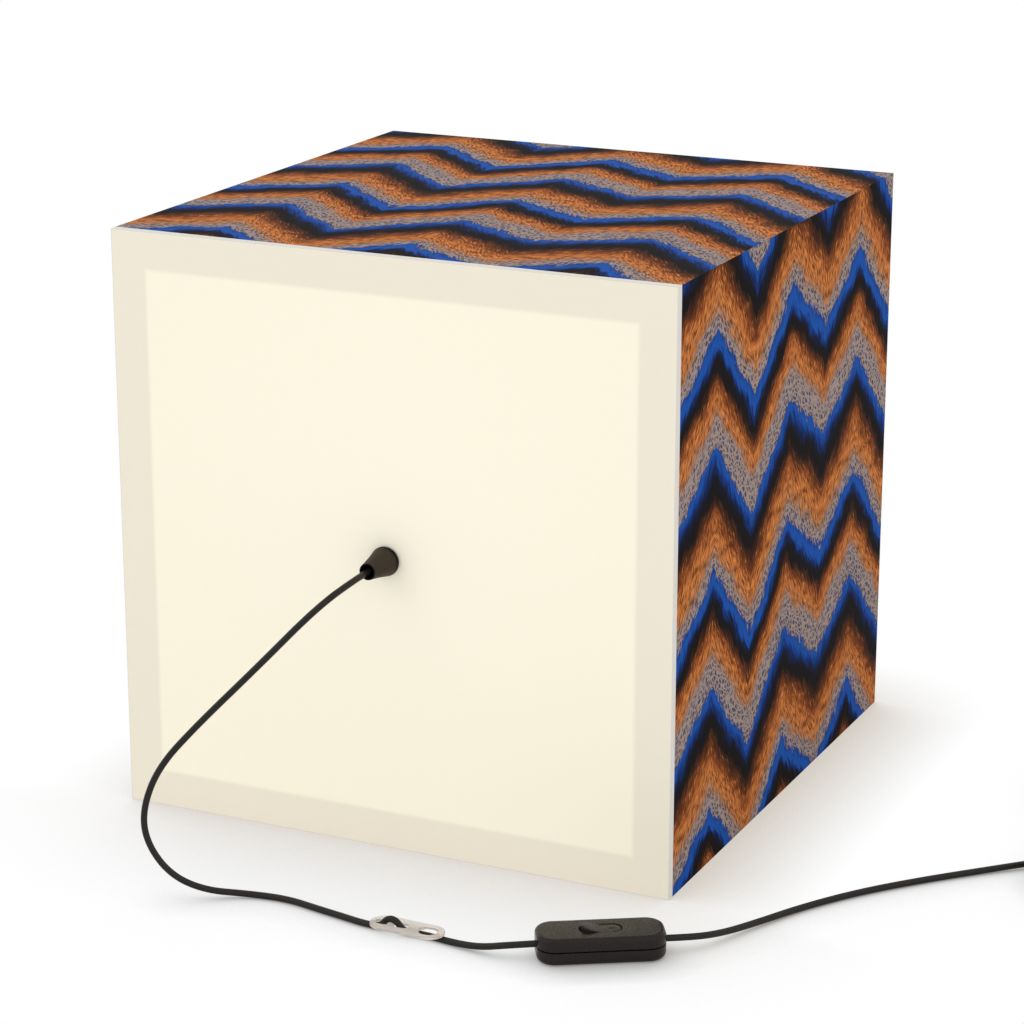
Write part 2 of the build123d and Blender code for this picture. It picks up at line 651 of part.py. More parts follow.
def switch_leads():
    """Live lead at each end, and the neutral that runs past the contacts."""
    cord_end = SWITCH_LENGTH / 2 - CORD_IN_SWITCH
    block_end = BLOCK_ALONG + BLOCK_LENGTH / 2
    block_z = SWITCH_WALL + STRIP_T + BLOCK_HEIGHT / 2
    low = SWITCH_WALL + STRIP_T + LEAD_D / 2
    split = LEAD_PITCH / 2
    leads = []
    for side in (-1, 1):
        bend = 0.35 * (cord_end - block_end)
        leads.append([(side * cord_end, side * split, CORD_Z),
                      (side * (cord_end - bend), side * split, CORD_Z),
                      (side * (block_end + bend), side * STRIP_ACROSS, block_z),
                      (side * block_end, side * STRIP_ACROSS, block_z)])
    step = cord_end - NEUTRAL_ACROSS
    leads.append([(-cord_end, split, CORD_Z), (-cord_end + 1.6, split + 0.4, CORD_Z),
                  (-step - 0.6, NEUTRAL_ACROSS, low), (-step + 4.0, NEUTRAL_ACROSS, low),
                  (0, NEUTRAL_ACROSS - 0.4, low),
                  (step - 4.0, NEUTRAL_ACROSS, low), (step + 0.8, NEUTRAL_ACROSS - 0.6, low),
                  (cord_end - 1.4, -split - 0.1, CORD_Z), (cord_end, -split, CORD_Z)])
    names = ("switch lead in", "switch lead out", "switch neutral")
    return Compound(children=[tube(name, points, LEAD_D).solid() for name, points in zip(names, leads)])


def rocker_form():
    """Rocker in its middle position, pivot at the origin, with a shallow valley across its top."""
    half = ROCKER_LENGTH / 2
    keel = ROCKER_KEEL_LENGTH / 2
    rise = half * tan(radians(ROCKER_THROW / 2))
    outline = Polyline((-half, ROCKER_VALLEY + rise), (0, ROCKER_VALLEY), (half, ROCKER_VALLEY + rise),
                       (half, ROCKER_VALLEY - ROCKER_SIDE), (keel, -ROCKER_KEEL), (-keel, -ROCKER_KEEL),
                       (-half, ROCKER_VALLEY - ROCKER_SIDE), close=True)
    profile = extrude(Plane.XZ * make_face(outline), ROCKER_WIDTH / 2, both=True)
    form = profile & stadium(ROCKER_LENGTH, ROCKER_WIDTH, -SWITCH_HEIGHT, SWITCH_HEIGHT)
    upper = form.edges().filter_by(lambda edge: edge.center().Z > ROCKER_VALLEY - 0.01)
    form = fillet(upper.filter_by(lambda edge: abs(edge.center().Y) > 0.1), ROCKER_EDGE)
    mark = block((MARK_ALONG - MARK_LENGTH / 2, -MARK_WIDTH / 2, -MARK_DEPTH),
                 (MARK_ALONG + MARK_LENGTH / 2, MARK_WIDTH / 2, ROCKER_SIDE))
    form -= Pos(0, 0, ROCKER_VALLEY) * Rot(0, -ROCKER_THROW / 2, 0) * mark
    pivot = Rot(90, 0, 0) * Cylinder(PIVOT_D / 2, 2 * (cheek_outer() - PIVOT_END_GAP))
    return form + pivot


def rocker_place():
    """Frame of the rocker at rest: its right end pressed in."""
    return switch_place() * Pos(0, 0, PIVOT_Z) * Rot(0, ROCKER_THROW / 2, 0)


def both_ends(make):
    """Group of the same piece at each end of the switch."""
    return Compound(children=[make(side).solid() for side in (-1, 1)])


def make_switch():
    """In-line switch and its rocker."""
    place = switch_place()
    PARTS["switch_base"] = place * switch_base()
    PARTS["switch_cover"] = place * switch_cover()
    PARTS["switch_screws"] = place * switch_screws()
    PARTS["switch_cord_clamps"] = place * switch_clamps()
    PARTS["switch_contacts"] = place * both_ends(contact_strip)
    PARTS["switch_terminals"] = place * both_ends(terminal_block)
    PARTS["switch_terminal_screws"] = place * both_ends(terminal_grub)
    PARTS["switch_leads"] = place * switch_leads()
    PARTS["switch_rocker"] = rocker_place() * rocker_form()
    bridge = block((-BRIDGE_LENGTH / 2, -STRIP_ACROSS - STRIP_WIDTH / 2, -ROCKER_KEEL - BRIDGE_T),
                   (BRIDGE_LENGTH / 2, STRIP_ACROSS + STRIP_WIDTH / 2, -ROCKER_KEEL))
    PARTS["switch_bridge"] = rocker_place() * bridge


# Free cord

def seat(place, x, y, z):
    """Point of a placed piece, in the lamp's frame."""
    return tuple((place * Pos(x, y, z)).position)


def lamp_cord_route():
    """Points from the nipple, down to the floor, through the clip and into the switch."""
    clip = clip_place()
    switch = switch_place()
    end = -SWITCH_LENGTH / 2
    return [(0, NIPPLE_OUT, LAMP_Z), (0, GLAND_END - 7.0, LAMP_Z),
            (-6.1, -132.5, 91.5), (-21.2, -143.5, 73.4), (-37.4, -152.5, 55.3), (-48.4, -158.5, 41.5),
            (-52.2, -162.5, 28.2), (-49.9, -164.5, 18.4), (-42.8, -163.0, 8.4), (-33.2, -158.5, 3.1),
            (-22.0, -151.0, CORD_R), (-9.0, -149.2, CORD_R), (3.5, -151.8, CORD_R), (13.5, -153.6, CORD_R),
            seat(clip, -3.8, 0.2, CORD_R), seat(clip, CLIP_BAR_AT - ARCH_HALF_FOOT, 0, CORD_R),
            seat(clip, CLIP_BAR_AT - ARCH_HALF_TOP, 0, ARCH_TOP),
            seat(clip, CLIP_BAR_AT + ARCH_HALF_TOP, 0, ARCH_TOP),
            seat(clip, CLIP_BAR_AT + ARCH_HALF_FOOT, 0, CORD_R),
            seat(clip, CLIP_BAR_AT + 10.6, 1.0, CORD_R),
            (51.5, -156.0, CORD_R), (61.0, -157.0, 1.8), seat(switch, end - 8.0, 0, CORD_Z - 0.2),
            seat(switch, end + CORD_IN_SWITCH, 0, CORD_Z)]


def supply_cord_route():
    """Points from the switch, along the floor, to the start of the coil."""
    switch = switch_place()
    end = SWITCH_LENGTH / 2
    start, heading = coil_point(0)
    end_point = start - heading * CORD_D
    return [seat(switch, end - CORD_IN_SWITCH, 0, CORD_Z), seat(switch, end + 8.0, 0, CORD_Z - 0.2),
            (123.6, -118.0, 2.6), (129.0, -105.0, 1.5), (137.4, -87.0, CORD_R), (149.3, -68.8, CORD_R),
            (164.0, -51.6, CORD_R), (178.6, -36.6, CORD_R), tuple(end_point - heading * 14.0),
            tuple(end_point)]


# Coil of spare cord

def coil_shape(turns):
    """Radius and height of the coil's line after a number of turns from its start."""
    layer_turns = (COIL_TURNS - (COIL_LAYERS - 1) / 2) / COIL_LAYERS
    spread = layer_turns * COIL_PITCH
    inner = COIL_MIDDLE_D / 2 - spread / 2
    layer, inward = 0, True
    left = turns
    while layer < COIL_LAYERS - 1 and left > layer_turns + 0.5:
        left -= layer_turns + 0.5
        layer, inward = layer + 1, not inward
    run = min(left, layer_turns) * COIL_PITCH
    radius = inner + (spread - run if inward else run)
    height = layer * COIL_PITCH
    if left > layer_turns:
        share = (left - layer_turns) * 2
        radius += (1 if inward else -1) * COIL_PITCH / 2 * (share ** 2 - share)
        height += COIL_PITCH * share ** 2 * (3 - 2 * share)
    return radius, COIL_Z + height


def coil_place(turns):
    """Point of the coil's line after a number of turns."""
    radius, height = coil_shape(turns)
    angle = radians(COIL_START) - 2 * pi * turns
    return Vector(COIL_X + radius * cos(angle), COIL_Y + radius * sin(angle), height)


def coil_point(turns):
    """Point and heading of the coil's line after a number of turns."""
    step = 0.001
    ahead = coil_place(min(turns + step, COIL_TURNS))
    behind = coil_place(max(turns - step, 0))
    return coil_place(turns), (ahead - behind).normalized()


def biarc(start, start_heading, end, end_heading):
    """Two arcs that join two points with their headings."""
    chord = end - start
    both = start_heading + end_heading
    square = 2 * (1 - start_heading.dot(end_heading))
    linear = 2 * chord.dot(both)
    reach = (-linear + sqrt(linear ** 2 + 4 * square * chord.dot(chord))) / (2 * square)
    first = start + start_heading * reach
    second = end - end_heading * reach
    middle = (first + second) * 0.5
    leaving = TangentArc(start, middle, tangent=start_heading)
    return [leaving, TangentArc(middle, end, tangent=second - first)]


def coil_stations():
    """Turn counts where the coil's arcs meet: quarter turns, and the ends of each layer."""
    layer_turns = (COIL_TURNS - (COIL_LAYERS - 1) / 2) / COIL_LAYERS
    marks = [0.0]
    for layer in range(COIL_LAYERS):
        quarters = round(layer_turns * 4)
        begin = marks[-1]
        marks += [begin + layer_turns * (index + 1) / quarters for index in range(quarters)]
        if layer < COIL_LAYERS - 1:
            marks += [marks[-1] + 0.25, marks[-1] + 0.5]
    return marks


def least_gap(path, diameter):
    """Smallest gap between turns of a path's tube, from points along it."""
    count = int(path.length / 1.5)
    points = [path @ (index / count) for index in range(count + 1)]
    skip = int(6 * diameter / (path.length / count))
    gaps = [(points[a] - points[b]).length for a in range(count + 1) for b in range(a + skip, count + 1)]
    return min(gaps) - diameter


def cord_coil():
    """Coil of spare cord: one unbroken tube, wound in and out in layers."""
    knots = [coil_point(turns) for turns in coil_stations()]
    first, first_heading = knots[0]
    last, last_heading = knots[-1]
    edges = [Line(first - first_heading * CORD_D, first)]
    for (start, start_heading), (end, end_heading) in zip(knots, knots[1:]):
        edges += biarc(start, start_heading, end, end_heading)
    edges.append(Line(last, last + last_heading * CORD_D))
    path = Wire(edges)
    section = Plane(origin=path @ 0, z_dir=path % 0) * Circle(CORD_R)
    coil = sweep(section, path=path)
    ideal = pi * CORD_R ** 2 * path.length
    print(f"cord_coil: length {path.length:.1f}, volume ratio {coil.volume / ideal:.4f},",
          f"least gap {least_gap(path, CORD_D):.2f}")
    return coil


def tail_route():
    """Points from the top of the coil down through the strain relief to the plug."""
    last, heading = coil_point(COIL_TURNS)
    start = last + heading * CORD_D
    level = start + heading * 6.0
    arrive = Vector(PLUG_X, PLUG_TAIL_Y - 6.0, PLUG_Z)
    middle = (level + arrive) * 0.5 + Vector(0, 0, 0.15)
    return [tuple(start), tuple(level), tuple(middle), tuple(arrive),
            (PLUG_X, PLUG_TAIL_Y + RELIEF_LENGTH, PLUG_Z)]


def coil_tie():
    """Flat band round all the turns at one place, through the middle of the coil."""
    radii = [coil_shape(turns)[0] for turns in coil_stations()]
    heights = [coil_shape(turns)[1] for turns in coil_stations()]
    bulge = COIL_PITCH / 8
    near = min(radii) - bulge - CORD_R - TIE_GAP
    far = max(radii) + bulge + CORD_R + TIE_GAP
    low = TIE_T
    high = max(heights) + CORD_R + TIE_GAP
    middle = ((near + far) / 2, (low + high) / 2)
    hole = RectangleRounded(far - near, high - low, TIE_CORNER)
    band = RectangleRounded(far - near + 2 * TIE_T, high - low + 2 * TIE_T, TIE_CORNER + TIE_T)
    loop = extrude(Plane.XZ * Pos(*middle) * (band - hole), TIE_WIDTH / 2, both=True)
    return Pos(COIL_X, COIL_Y, 0) * Rot(0, 0, TIE_AT) * loop


# Plug

def plug_place():
    """Frame of the plug: end of its strain relief at the origin, pins along Y."""
    return Pos(PLUG_X, PLUG_TAIL_Y, PLUG_Z)


def strain_relief():
    """Tapered, grooved sleeve on the cord behind the plug."""
    tail_r, head_r = RELIEF_TAIL_D / 2, RELIEF_HEAD_D / 2
    bore_r = CORD_R + CORD_GAP
    pitch = RELIEF_LENGTH / (2 * RELIEF_RIBS + 1)
    outline = [(bore_r, 0)]
    for index in range(2 * RELIEF_RIBS + 1):
        sink = RELIEF_GROOVE if index % 2 else 0
        for y in (index * pitch, (index + 1) * pitch):
            outline.append((tail_r + (head_r - tail_r) * y / RELIEF_LENGTH - sink, y))
    outline.append((bore_r, RELIEF_LENGTH))
    return revolve(make_face(Polyline(*outline, close=True)), Axis.Y)


def plug_body():
    """Flat plug body, widening from the cord to the pins."""
    cord_face = RectangleRounded(PLUG_TAIL_WIDTH, PLUG_TAIL_T, PLUG_CORNER)
    tail = Pos(0, RELIEF_LENGTH, 0) * Rot(90, 0, 0) * cord_face
    shoulder = RectangleRounded(PLUG_MIDDLE_WIDTH, PLUG_MIDDLE_T, PLUG_CORNER)
    middle = Pos(0, RELIEF_LENGTH + PLUG_MIDDLE_AT, 0) * Rot(90, 0, 0) * shoulder
    pin_face = RectangleRounded(PLUG_WIDTH, PLUG_T, PLUG_CORNER)
    face = Pos(0, RELIEF_LENGTH + PLUG_LENGTH, 0) * Rot(90, 0, 0) * pin_face
    body = loft([tail, middle, face], ruled=True)
    for side in (-1, 1):
        body -= Pos(side * PIN_PITCH / 2, 0, 0) * along_y(SLEEVE_BORE, -PIN_ROOT, 0)
    return body


def along_y(diameter, start, end):
    """Round bar along the plug, measured from its pin face."""
    return Pos(0, RELIEF_LENGTH + PLUG_LENGTH + (start + end) / 2, 0) * Rot(90, 0, 0) * Cylinder(
        diameter / 2, end - start)


def plug_pin():
    """Stepped pin: a root in the body, a waist inside its sleeve and a bare rounded tip."""
    tip = fillet(along_y(PIN_D, SLEEVE_LENGTH, PIN_LENGTH).edges().sort_by(Axis.Y)[-1], PIN_TIP_ROUND)
    return tip + along_y(SLEEVE_BORE, -PIN_ROOT, SLEEVE_LENGTH)


def pair(piece):
    """Two copies of a piece, one on each pin's axis."""
    return Compound(children=[(Pos(side * PIN_PITCH / 2, 0, 0) * piece).solid() for side in (-1, 1)])


def make_cord_set():
    """Cord, clip, coil, tie and plug."""
    PARTS["cord_clip"] = cord_clip()
    PARTS["cord_lamp_run"] = tube("cord_lamp_run", lamp_cord_route(), CORD_D)
    PARTS["cord_supply_run"] = tube("cord_supply_run", supply_cord_route(), CORD_D)
    PARTS["cord_coil"] = cord_coil()
    PARTS["cord_tail"] = tube("cord_tail", tail_route(), CORD_D)
    PARTS["coil_tie"] = coil_tie()
    place = plug_place()
    PARTS["plug_strain_relief"] = place * strain_relief()
    PARTS["plug_body"] = place * plug_body()
    PARTS["plug_pins"] = place * pair(plug_pin())
    sleeve = along_y(PIN_D, 0, SLEEVE_LENGTH) - along_y(SLEEVE_BORE, 0, SLEEVE_LENGTH)
    PARTS["plug_pin_sleeves"] = place * pair(sleeve)


def main():
    """Build every piece and write it to its own file."""
    make_shade()
    make_back()
    make_holder()
    make_bulb()
    make_switch()
    make_cord_set()
    os.makedirs("parts", exist_ok=True)
    for name, solid in PARTS.items():
        export_step(solid, f"parts/{name}.step")
    print(len(PARTS), "nodes")


main()
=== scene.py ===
"""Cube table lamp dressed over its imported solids: printed shade, back panel, bulb, cord set and studio."""

import logging
import math
from dataclasses import dataclass, field
from enum import Enum
from typing import Sequence

import bmesh
import bpy
from mathutils import Euler, Matrix, Vector


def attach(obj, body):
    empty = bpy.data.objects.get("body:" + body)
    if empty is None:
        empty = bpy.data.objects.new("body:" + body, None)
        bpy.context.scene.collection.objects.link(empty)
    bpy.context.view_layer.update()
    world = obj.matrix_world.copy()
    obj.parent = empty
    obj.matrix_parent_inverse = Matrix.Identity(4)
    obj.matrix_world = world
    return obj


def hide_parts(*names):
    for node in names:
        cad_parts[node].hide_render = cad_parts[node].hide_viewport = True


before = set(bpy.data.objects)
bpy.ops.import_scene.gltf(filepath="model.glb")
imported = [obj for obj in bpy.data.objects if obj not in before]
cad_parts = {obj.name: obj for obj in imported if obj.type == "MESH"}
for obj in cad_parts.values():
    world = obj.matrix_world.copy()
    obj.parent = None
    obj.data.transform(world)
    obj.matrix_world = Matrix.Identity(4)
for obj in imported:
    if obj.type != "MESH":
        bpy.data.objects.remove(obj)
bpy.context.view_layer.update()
LOG = logging.getLogger("cube_lamp")
MM = 0.001
CUBE = 0.195
AXIS_Z = CUBE / 2
SHARP = 35.0
FINE_SHARP = 50.0
SOLID_MERGE = 1e-6
RING_MERGE = 1e-7
Span = tuple[float, float]
Point = tuple[float, float, float]
Colour = tuple[float, float, float, float]
WHITE: Colour = (1.0, 1.0, 1.0, 1.0)


def tint(red: int, green: int, blue: int) -> Colour:
    """Linear colour of a display colour.

    Args:
        red: Red part from 0 to 255.
        green: Green part from 0 to 255.
        blue: Blue part from 0 to 255.

    Returns:
        The opaque colour.
    """
    parts = [value / 255 for value in (red, green, blue)]
    linear = [part / 12.92 if part <= 0.04045 else ((part + 0.055) / 1.055) ** 2.4 for part in parts]
    return (linear[0], linear[1], linear[2], 1.0)


def scaled(colour: Colour, factor: float) -> Colour:
    """Opaque colour made lighter or darker, with no part above 1."""
    red, green, blue = (min(1.0, part * factor) for part in colour[:3])
    return (red, green, blue, 1.0)


class Body(Enum):
    """Bodies that carry new pieces."""

    BACK = "back"
    BULB = "bulb"
    ROCKER = "rocker"


class Signal:
    """One node socket, on which arithmetic adds Math nodes."""

    def __init__(self, wiring: "Wiring", socket: bpy.types.NodeSocket) -> None:
        """Keep the socket and the wiring that it belongs to."""
        self.wiring = wiring
        self.socket = socket

    def __add__(self, other: "Signal | float") -> "Signal":
        """Sum."""
        return self.wiring.math("ADD", self, other)

    __radd__ = __add__

    def __sub__(self, other: "Signal | float") -> "Signal":
        """Difference."""
        return self.wiring.math("SUBTRACT", self, other)

    def __rsub__(self, other: float) -> "Signal":
        """Difference from a number."""
        return self.wiring.math("SUBTRACT", other, self)

    def __mul__(self, other: "Signal | float") -> "Signal":
        """Product."""
        return self.wiring.math("MULTIPLY", self, other)

    __rmul__ = __mul__

    def __truediv__(self, other: "Signal | float") -> "Signal":
        """Quotient."""
        return self.wiring.math("DIVIDE", self, other)

    def __pow__(self, other: float) -> "Signal":
        """Power."""
        return self.wiring.math("POWER", self, other)

    def __abs__(self) -> "Signal":
        """Size without sign."""
        return self.wiring.math("ABSOLUTE", self)

    def wrap(self) -> "Signal":
        """Part after the whole number below."""
        return self.wiring.math("FRACT", self)

    def most(self, other: "Signal | float") -> "Signal":
        """Larger of two values."""
        return self.wiring.math("MAXIMUM", self, other)

    def rise(self, low: float, high: float) -> "Signal":
        """Smooth step from 0 at low to 1 at high."""
        node = self.wiring.add("ShaderNodeMapRange", {"interpolation_type": "SMOOTHSTEP"},
                               {"Value": self, "From Min": low, "From Max": high})
        return Signal(self.wiring, node.outputs[0])

    def between(self, start: Span, end: Span) -> "Signal":
        """1 after a rising step and before a falling one, each given by its two ends."""
        return self.rise(*start) * (1 - self.rise(*end))


class Wiring:
    """A node tree that is built up node by node."""

    def __init__(self, tree: bpy.types.NodeTree) -> None:
        """Keep the tree."""
        self.tree = tree

    def add(self, kind: str, settings: dict | None = None, sockets: dict | None = None) -> bpy.types.Node:
        """Add a node, set it up, then feed its sockets.

        Args:
            kind: Node type.
            settings: Node properties; "stops" holds a ramp's positions and colours.
            sockets: Values, signals or sockets by input name or index.

        Returns:
            The new node.
        """
        node = self.tree.nodes.new(kind)
        for name, value in (settings or {}).items():
            if name == "stops":
                self._set_stops(node.color_ramp, value)
            else:
                setattr(node, name, value)
        self.feed(node, sockets or {})
        return node

    @staticmethod
    def _set_stops(ramp: bpy.types.ColorRamp, stops: Sequence[tuple[float, Colour]]) -> None:
        """Give a ramp its positions and colours.

        Args:
            ramp: Ramp to set.
            stops: Positions and colours in order.
        """
        while len(ramp.elements) < len(stops):
            ramp.elements.new(1.0)
        for element, (position, colour) in zip(ramp.elements, stops):
            element.position = position
            element.color = colour

    def feed(self, node: bpy.types.Node, sockets: dict) -> None:
        """Set or link a node's inputs.

        Args:
            node: Node to feed.
            sockets: Values, signals or sockets by input name or index.
        """
        for key, value in sockets.items():
            source = value.socket if isinstance(value, Signal) else value
            if isinstance(source, bpy.types.NodeSocket):
                self.tree.links.new(source, node.inputs[key])
            else:
                node.inputs[key].default_value = source

    def math(self, operation: str, *values: "Signal | float") -> Signal:
        """Math node on one or two values."""
        node = self.add("ShaderNodeMath", {"operation": operation}, dict(enumerate(values)))
        return Signal(self, node.outputs[0])

    def viewed(self) -> Signal:
        """Tell rays of the picture from rays of light.

        Returns:
            1 where the camera looks straight, in a reflection or through glass.
        """
        rays = self.add("ShaderNodeLightPath").outputs
        straight, mirrored, through = (
            Signal(self, rays[f"Is {kind} Ray"]) for kind in ("Camera", "Glossy", "Transmission"))
        return straight.most(mirrored).most(through)


class Paint(Wiring):
    """A node material around one Principled shader."""

    def __init__(self, name: str) -> None:
        """Start an empty material.

        Args:
            name: Name of the material.
        """
        self.material = bpy.data.materials.new(name)
        self.material.use_nodes = True
        super().__init__(self.material.node_tree)
        self.tree.nodes.clear()
        self.shader = self.add("ShaderNodeBsdfPrincipled")
        self.output = self.add("ShaderNodeOutputMaterial", None, {"Surface": self.shader.outputs[0]})
        self._place: Signal | None = None

    def place(self) -> Signal:
        """Read where a point lies.

        Returns:
            Object coordinates, in metres.
        """
        if self._place is None:
            self._place = Signal(self, self.add("ShaderNodeTexCoord").outputs["Object"])
        return self._place

    def axes(self) -> list[Signal]:
        """Object coordinates as three values."""
        node = self.add("ShaderNodeSeparateXYZ", None, {0: self.place()})
        return [Signal(self, output) for output in node.outputs]

    def vector(self, x: "Signal | float", y: "Signal | float", z: "Signal | float") -> Signal:
        """Three values as one vector."""
        return Signal(self, self.add("ShaderNodeCombineXYZ", None, {0: x, 1: y, 2: z}).outputs[0])

    def noise(self, scale: float, detail: float, where: Signal | None = None) -> Signal:
        """Soft noise from 0 to 1.

        Args:
            scale: Waves in each metre.
            detail: Finer layers.
            where: Coordinates, or the object's own.

        Returns:
            The noise value.
        """
        sockets = {"Vector": where or self.place(), "Scale": scale, "Detail": detail}
        return Signal(self, self.add("ShaderNodeTexNoise", None, sockets).outputs["Fac"])

    def seams(self, where: Signal) -> Signal:
        """Distance from the seams of a net of cells, one in each unit."""
        node = self.add("ShaderNodeTexVoronoi", {"feature": "DISTANCE_TO_EDGE"},
                        {"Vector": where, "Scale": 1.0})
        return Signal(self, node.outputs["Distance"])

    def ramp(self, value: Signal, stops: Sequence[tuple[float, Colour]]) -> Signal:
        """Colour from a value by a ramp of stops."""
        node = self.add("ShaderNodeValToRGB", {"stops": stops}, {"Fac": value})
        return Signal(self, node.outputs["Color"])

    def mix(self, share: "Signal | float", first: "Signal | Colour", second: "Signal | Colour",
            blend: str = "MIX") -> Signal:
        """Colour between two colours, or the first changed by the second."""
        node = self.add("ShaderNodeMix", {"data_type": "RGBA", "blend_type": blend},
                        {0: share, 6: first, 7: second})
        return Signal(self, node.outputs[2])

    def bump(self, height: Signal, depth: float) -> Signal:
        """Normal from a height, in metres of depth."""
        node = self.add("ShaderNodeBump", None, {"Height": height, "Distance": depth, "Strength": 1.0})
        return Signal(self, node.outputs["Normal"])

    def done(self, **sockets: "Signal | float | Colour") -> bpy.types.Material:
        """Feed the shader, with underscores for spaces in its socket names, and give the material."""
        self.feed(self.shader, {name.replace("_", " "): value for name, value in sockets.items()})
        return self.material


@dataclass(frozen=True)
class Moulding:
    """Moulded plastic or rubber, with a fine grain and a faint change of tone."""

    name: str
    colour: Colour
    roughness: float = 0.45
    tone: float = 0.18
    grain: float = 2200.0
    depth: float = 0.00002
    shine: float = 0.25
    spread: float = 0.1
    cloud: float = 60.0

    def material(self) -> bpy.types.Material:
        """Build the material.

        Returns:
            The material.
        """
        paint = Paint(self.name)
        cloud = paint.noise(self.cloud, detail=4.0)
        grain = paint.noise(self.grain, detail=2.0)
        dark, light = scaled(self.colour, 1 - self.tone), scaled(self.colour, 1 + self.tone)
        return paint.done(
            Base_Color=paint.mix(cloud, dark, light),
            Roughness=self.roughness - self.spread / 2 + self.spread * grain,
            Specular_IOR_Level=self.shine,
            Normal=paint.bump(grain, self.depth),
        )


@dataclass(frozen=True)
class Metal:
    """Turned or rolled metal with fine marks round the lamp's axis."""

    name: str
    colour: Colour
    roughness: float = 0.3
    smoother: float = 0.08
    spread: float = 0.2
    marks: Point = (120.0, 5200.0, 120.0)
    depth: float = 0.000012
    cloud: float = 180.0
    dull: float = 0.78
    dull_reach: Span = (0.35, 0.75)

    def material(self) -> bpy.types.Material:
        """Build the material.

        Returns:
            The material.
        """
        paint = Paint(self.name)
        stretched = [axis * scale for axis, scale in zip(paint.axes(), self.marks)]
        marks = paint.noise(1.0, detail=2.0, where=paint.vector(*stretched))
        cloud = paint.noise(self.cloud, detail=3.0)
        return paint.done(
            Base_Color=paint.mix(cloud.rise(*self.dull_reach), self.colour, scaled(self.colour, self.dull)),
            Metallic=1.0,
            Roughness=self.roughness - self.smoother + self.spread * marks,
            Normal=paint.bump(marks, self.depth),
        )


@dataclass(frozen=True)
class GlandRubber:
    """Dark rubber with painted shade, near black, in its mouth and along its foot at the panel."""

    name: str = "gland_rubber"
    colour: Colour = tint(51, 42, 33)
    shadow: Colour = tint(8, 7, 6)
    paler: float = 1.2
    mouth: float = 0.00262
    mouth_soft: float = 0.0002
    foot: float = -0.0998
    foot_soft: Span = (0.0003, 0.0004)
    cloud: float = 60.0
    grain: float = 2200.0
    depth: float = 0.00002
    roughness: float = 0.5
    spread: float = 0.1
    shine: float = 0.12

    def material(self) -> bpy.types.Material:
        """Build the material.

        Returns:
            The material.
        """
        paint = Paint(self.name)
        x, y, z = paint.axes()
        high = z - AXIS_Z
        radius = (x * x + high * high) ** 0.5
        # Painted shade: near-black colour in the mouth and along the foot, standing in for the shade that
        # falls there.
        inside = 1 - radius.rise(self.mouth, self.mouth + self.mouth_soft)
        painted_shade_share = inside.most(y.rise(self.foot - self.foot_soft[0], self.foot + self.foot_soft[1]))
        grain = paint.noise(self.grain, detail=2.0)
        rubber = paint.mix(paint.noise(self.cloud, detail=4.0), self.colour, scaled(self.colour, self.paler))
        return paint.done(
            Base_Color=paint.mix(painted_shade_share, rubber, self.shadow),
            Roughness=self.roughness + self.spread * grain,
            Specular_IOR_Level=self.shine,
            Normal=paint.bump(grain, self.depth),
        )


class SheetFace(Enum):
    """Printed sides: axes across and up the print, and the axis and way out of the sheet."""

    TOP = (0, 1, 2, 1)
    BOTTOM = (0, 1, 2, -1)
    RIGHT = (1, 2, 0, 1)
    LEFT = (1, 2, 0, -1)
    FRONT = (0, 2, 1, 1)


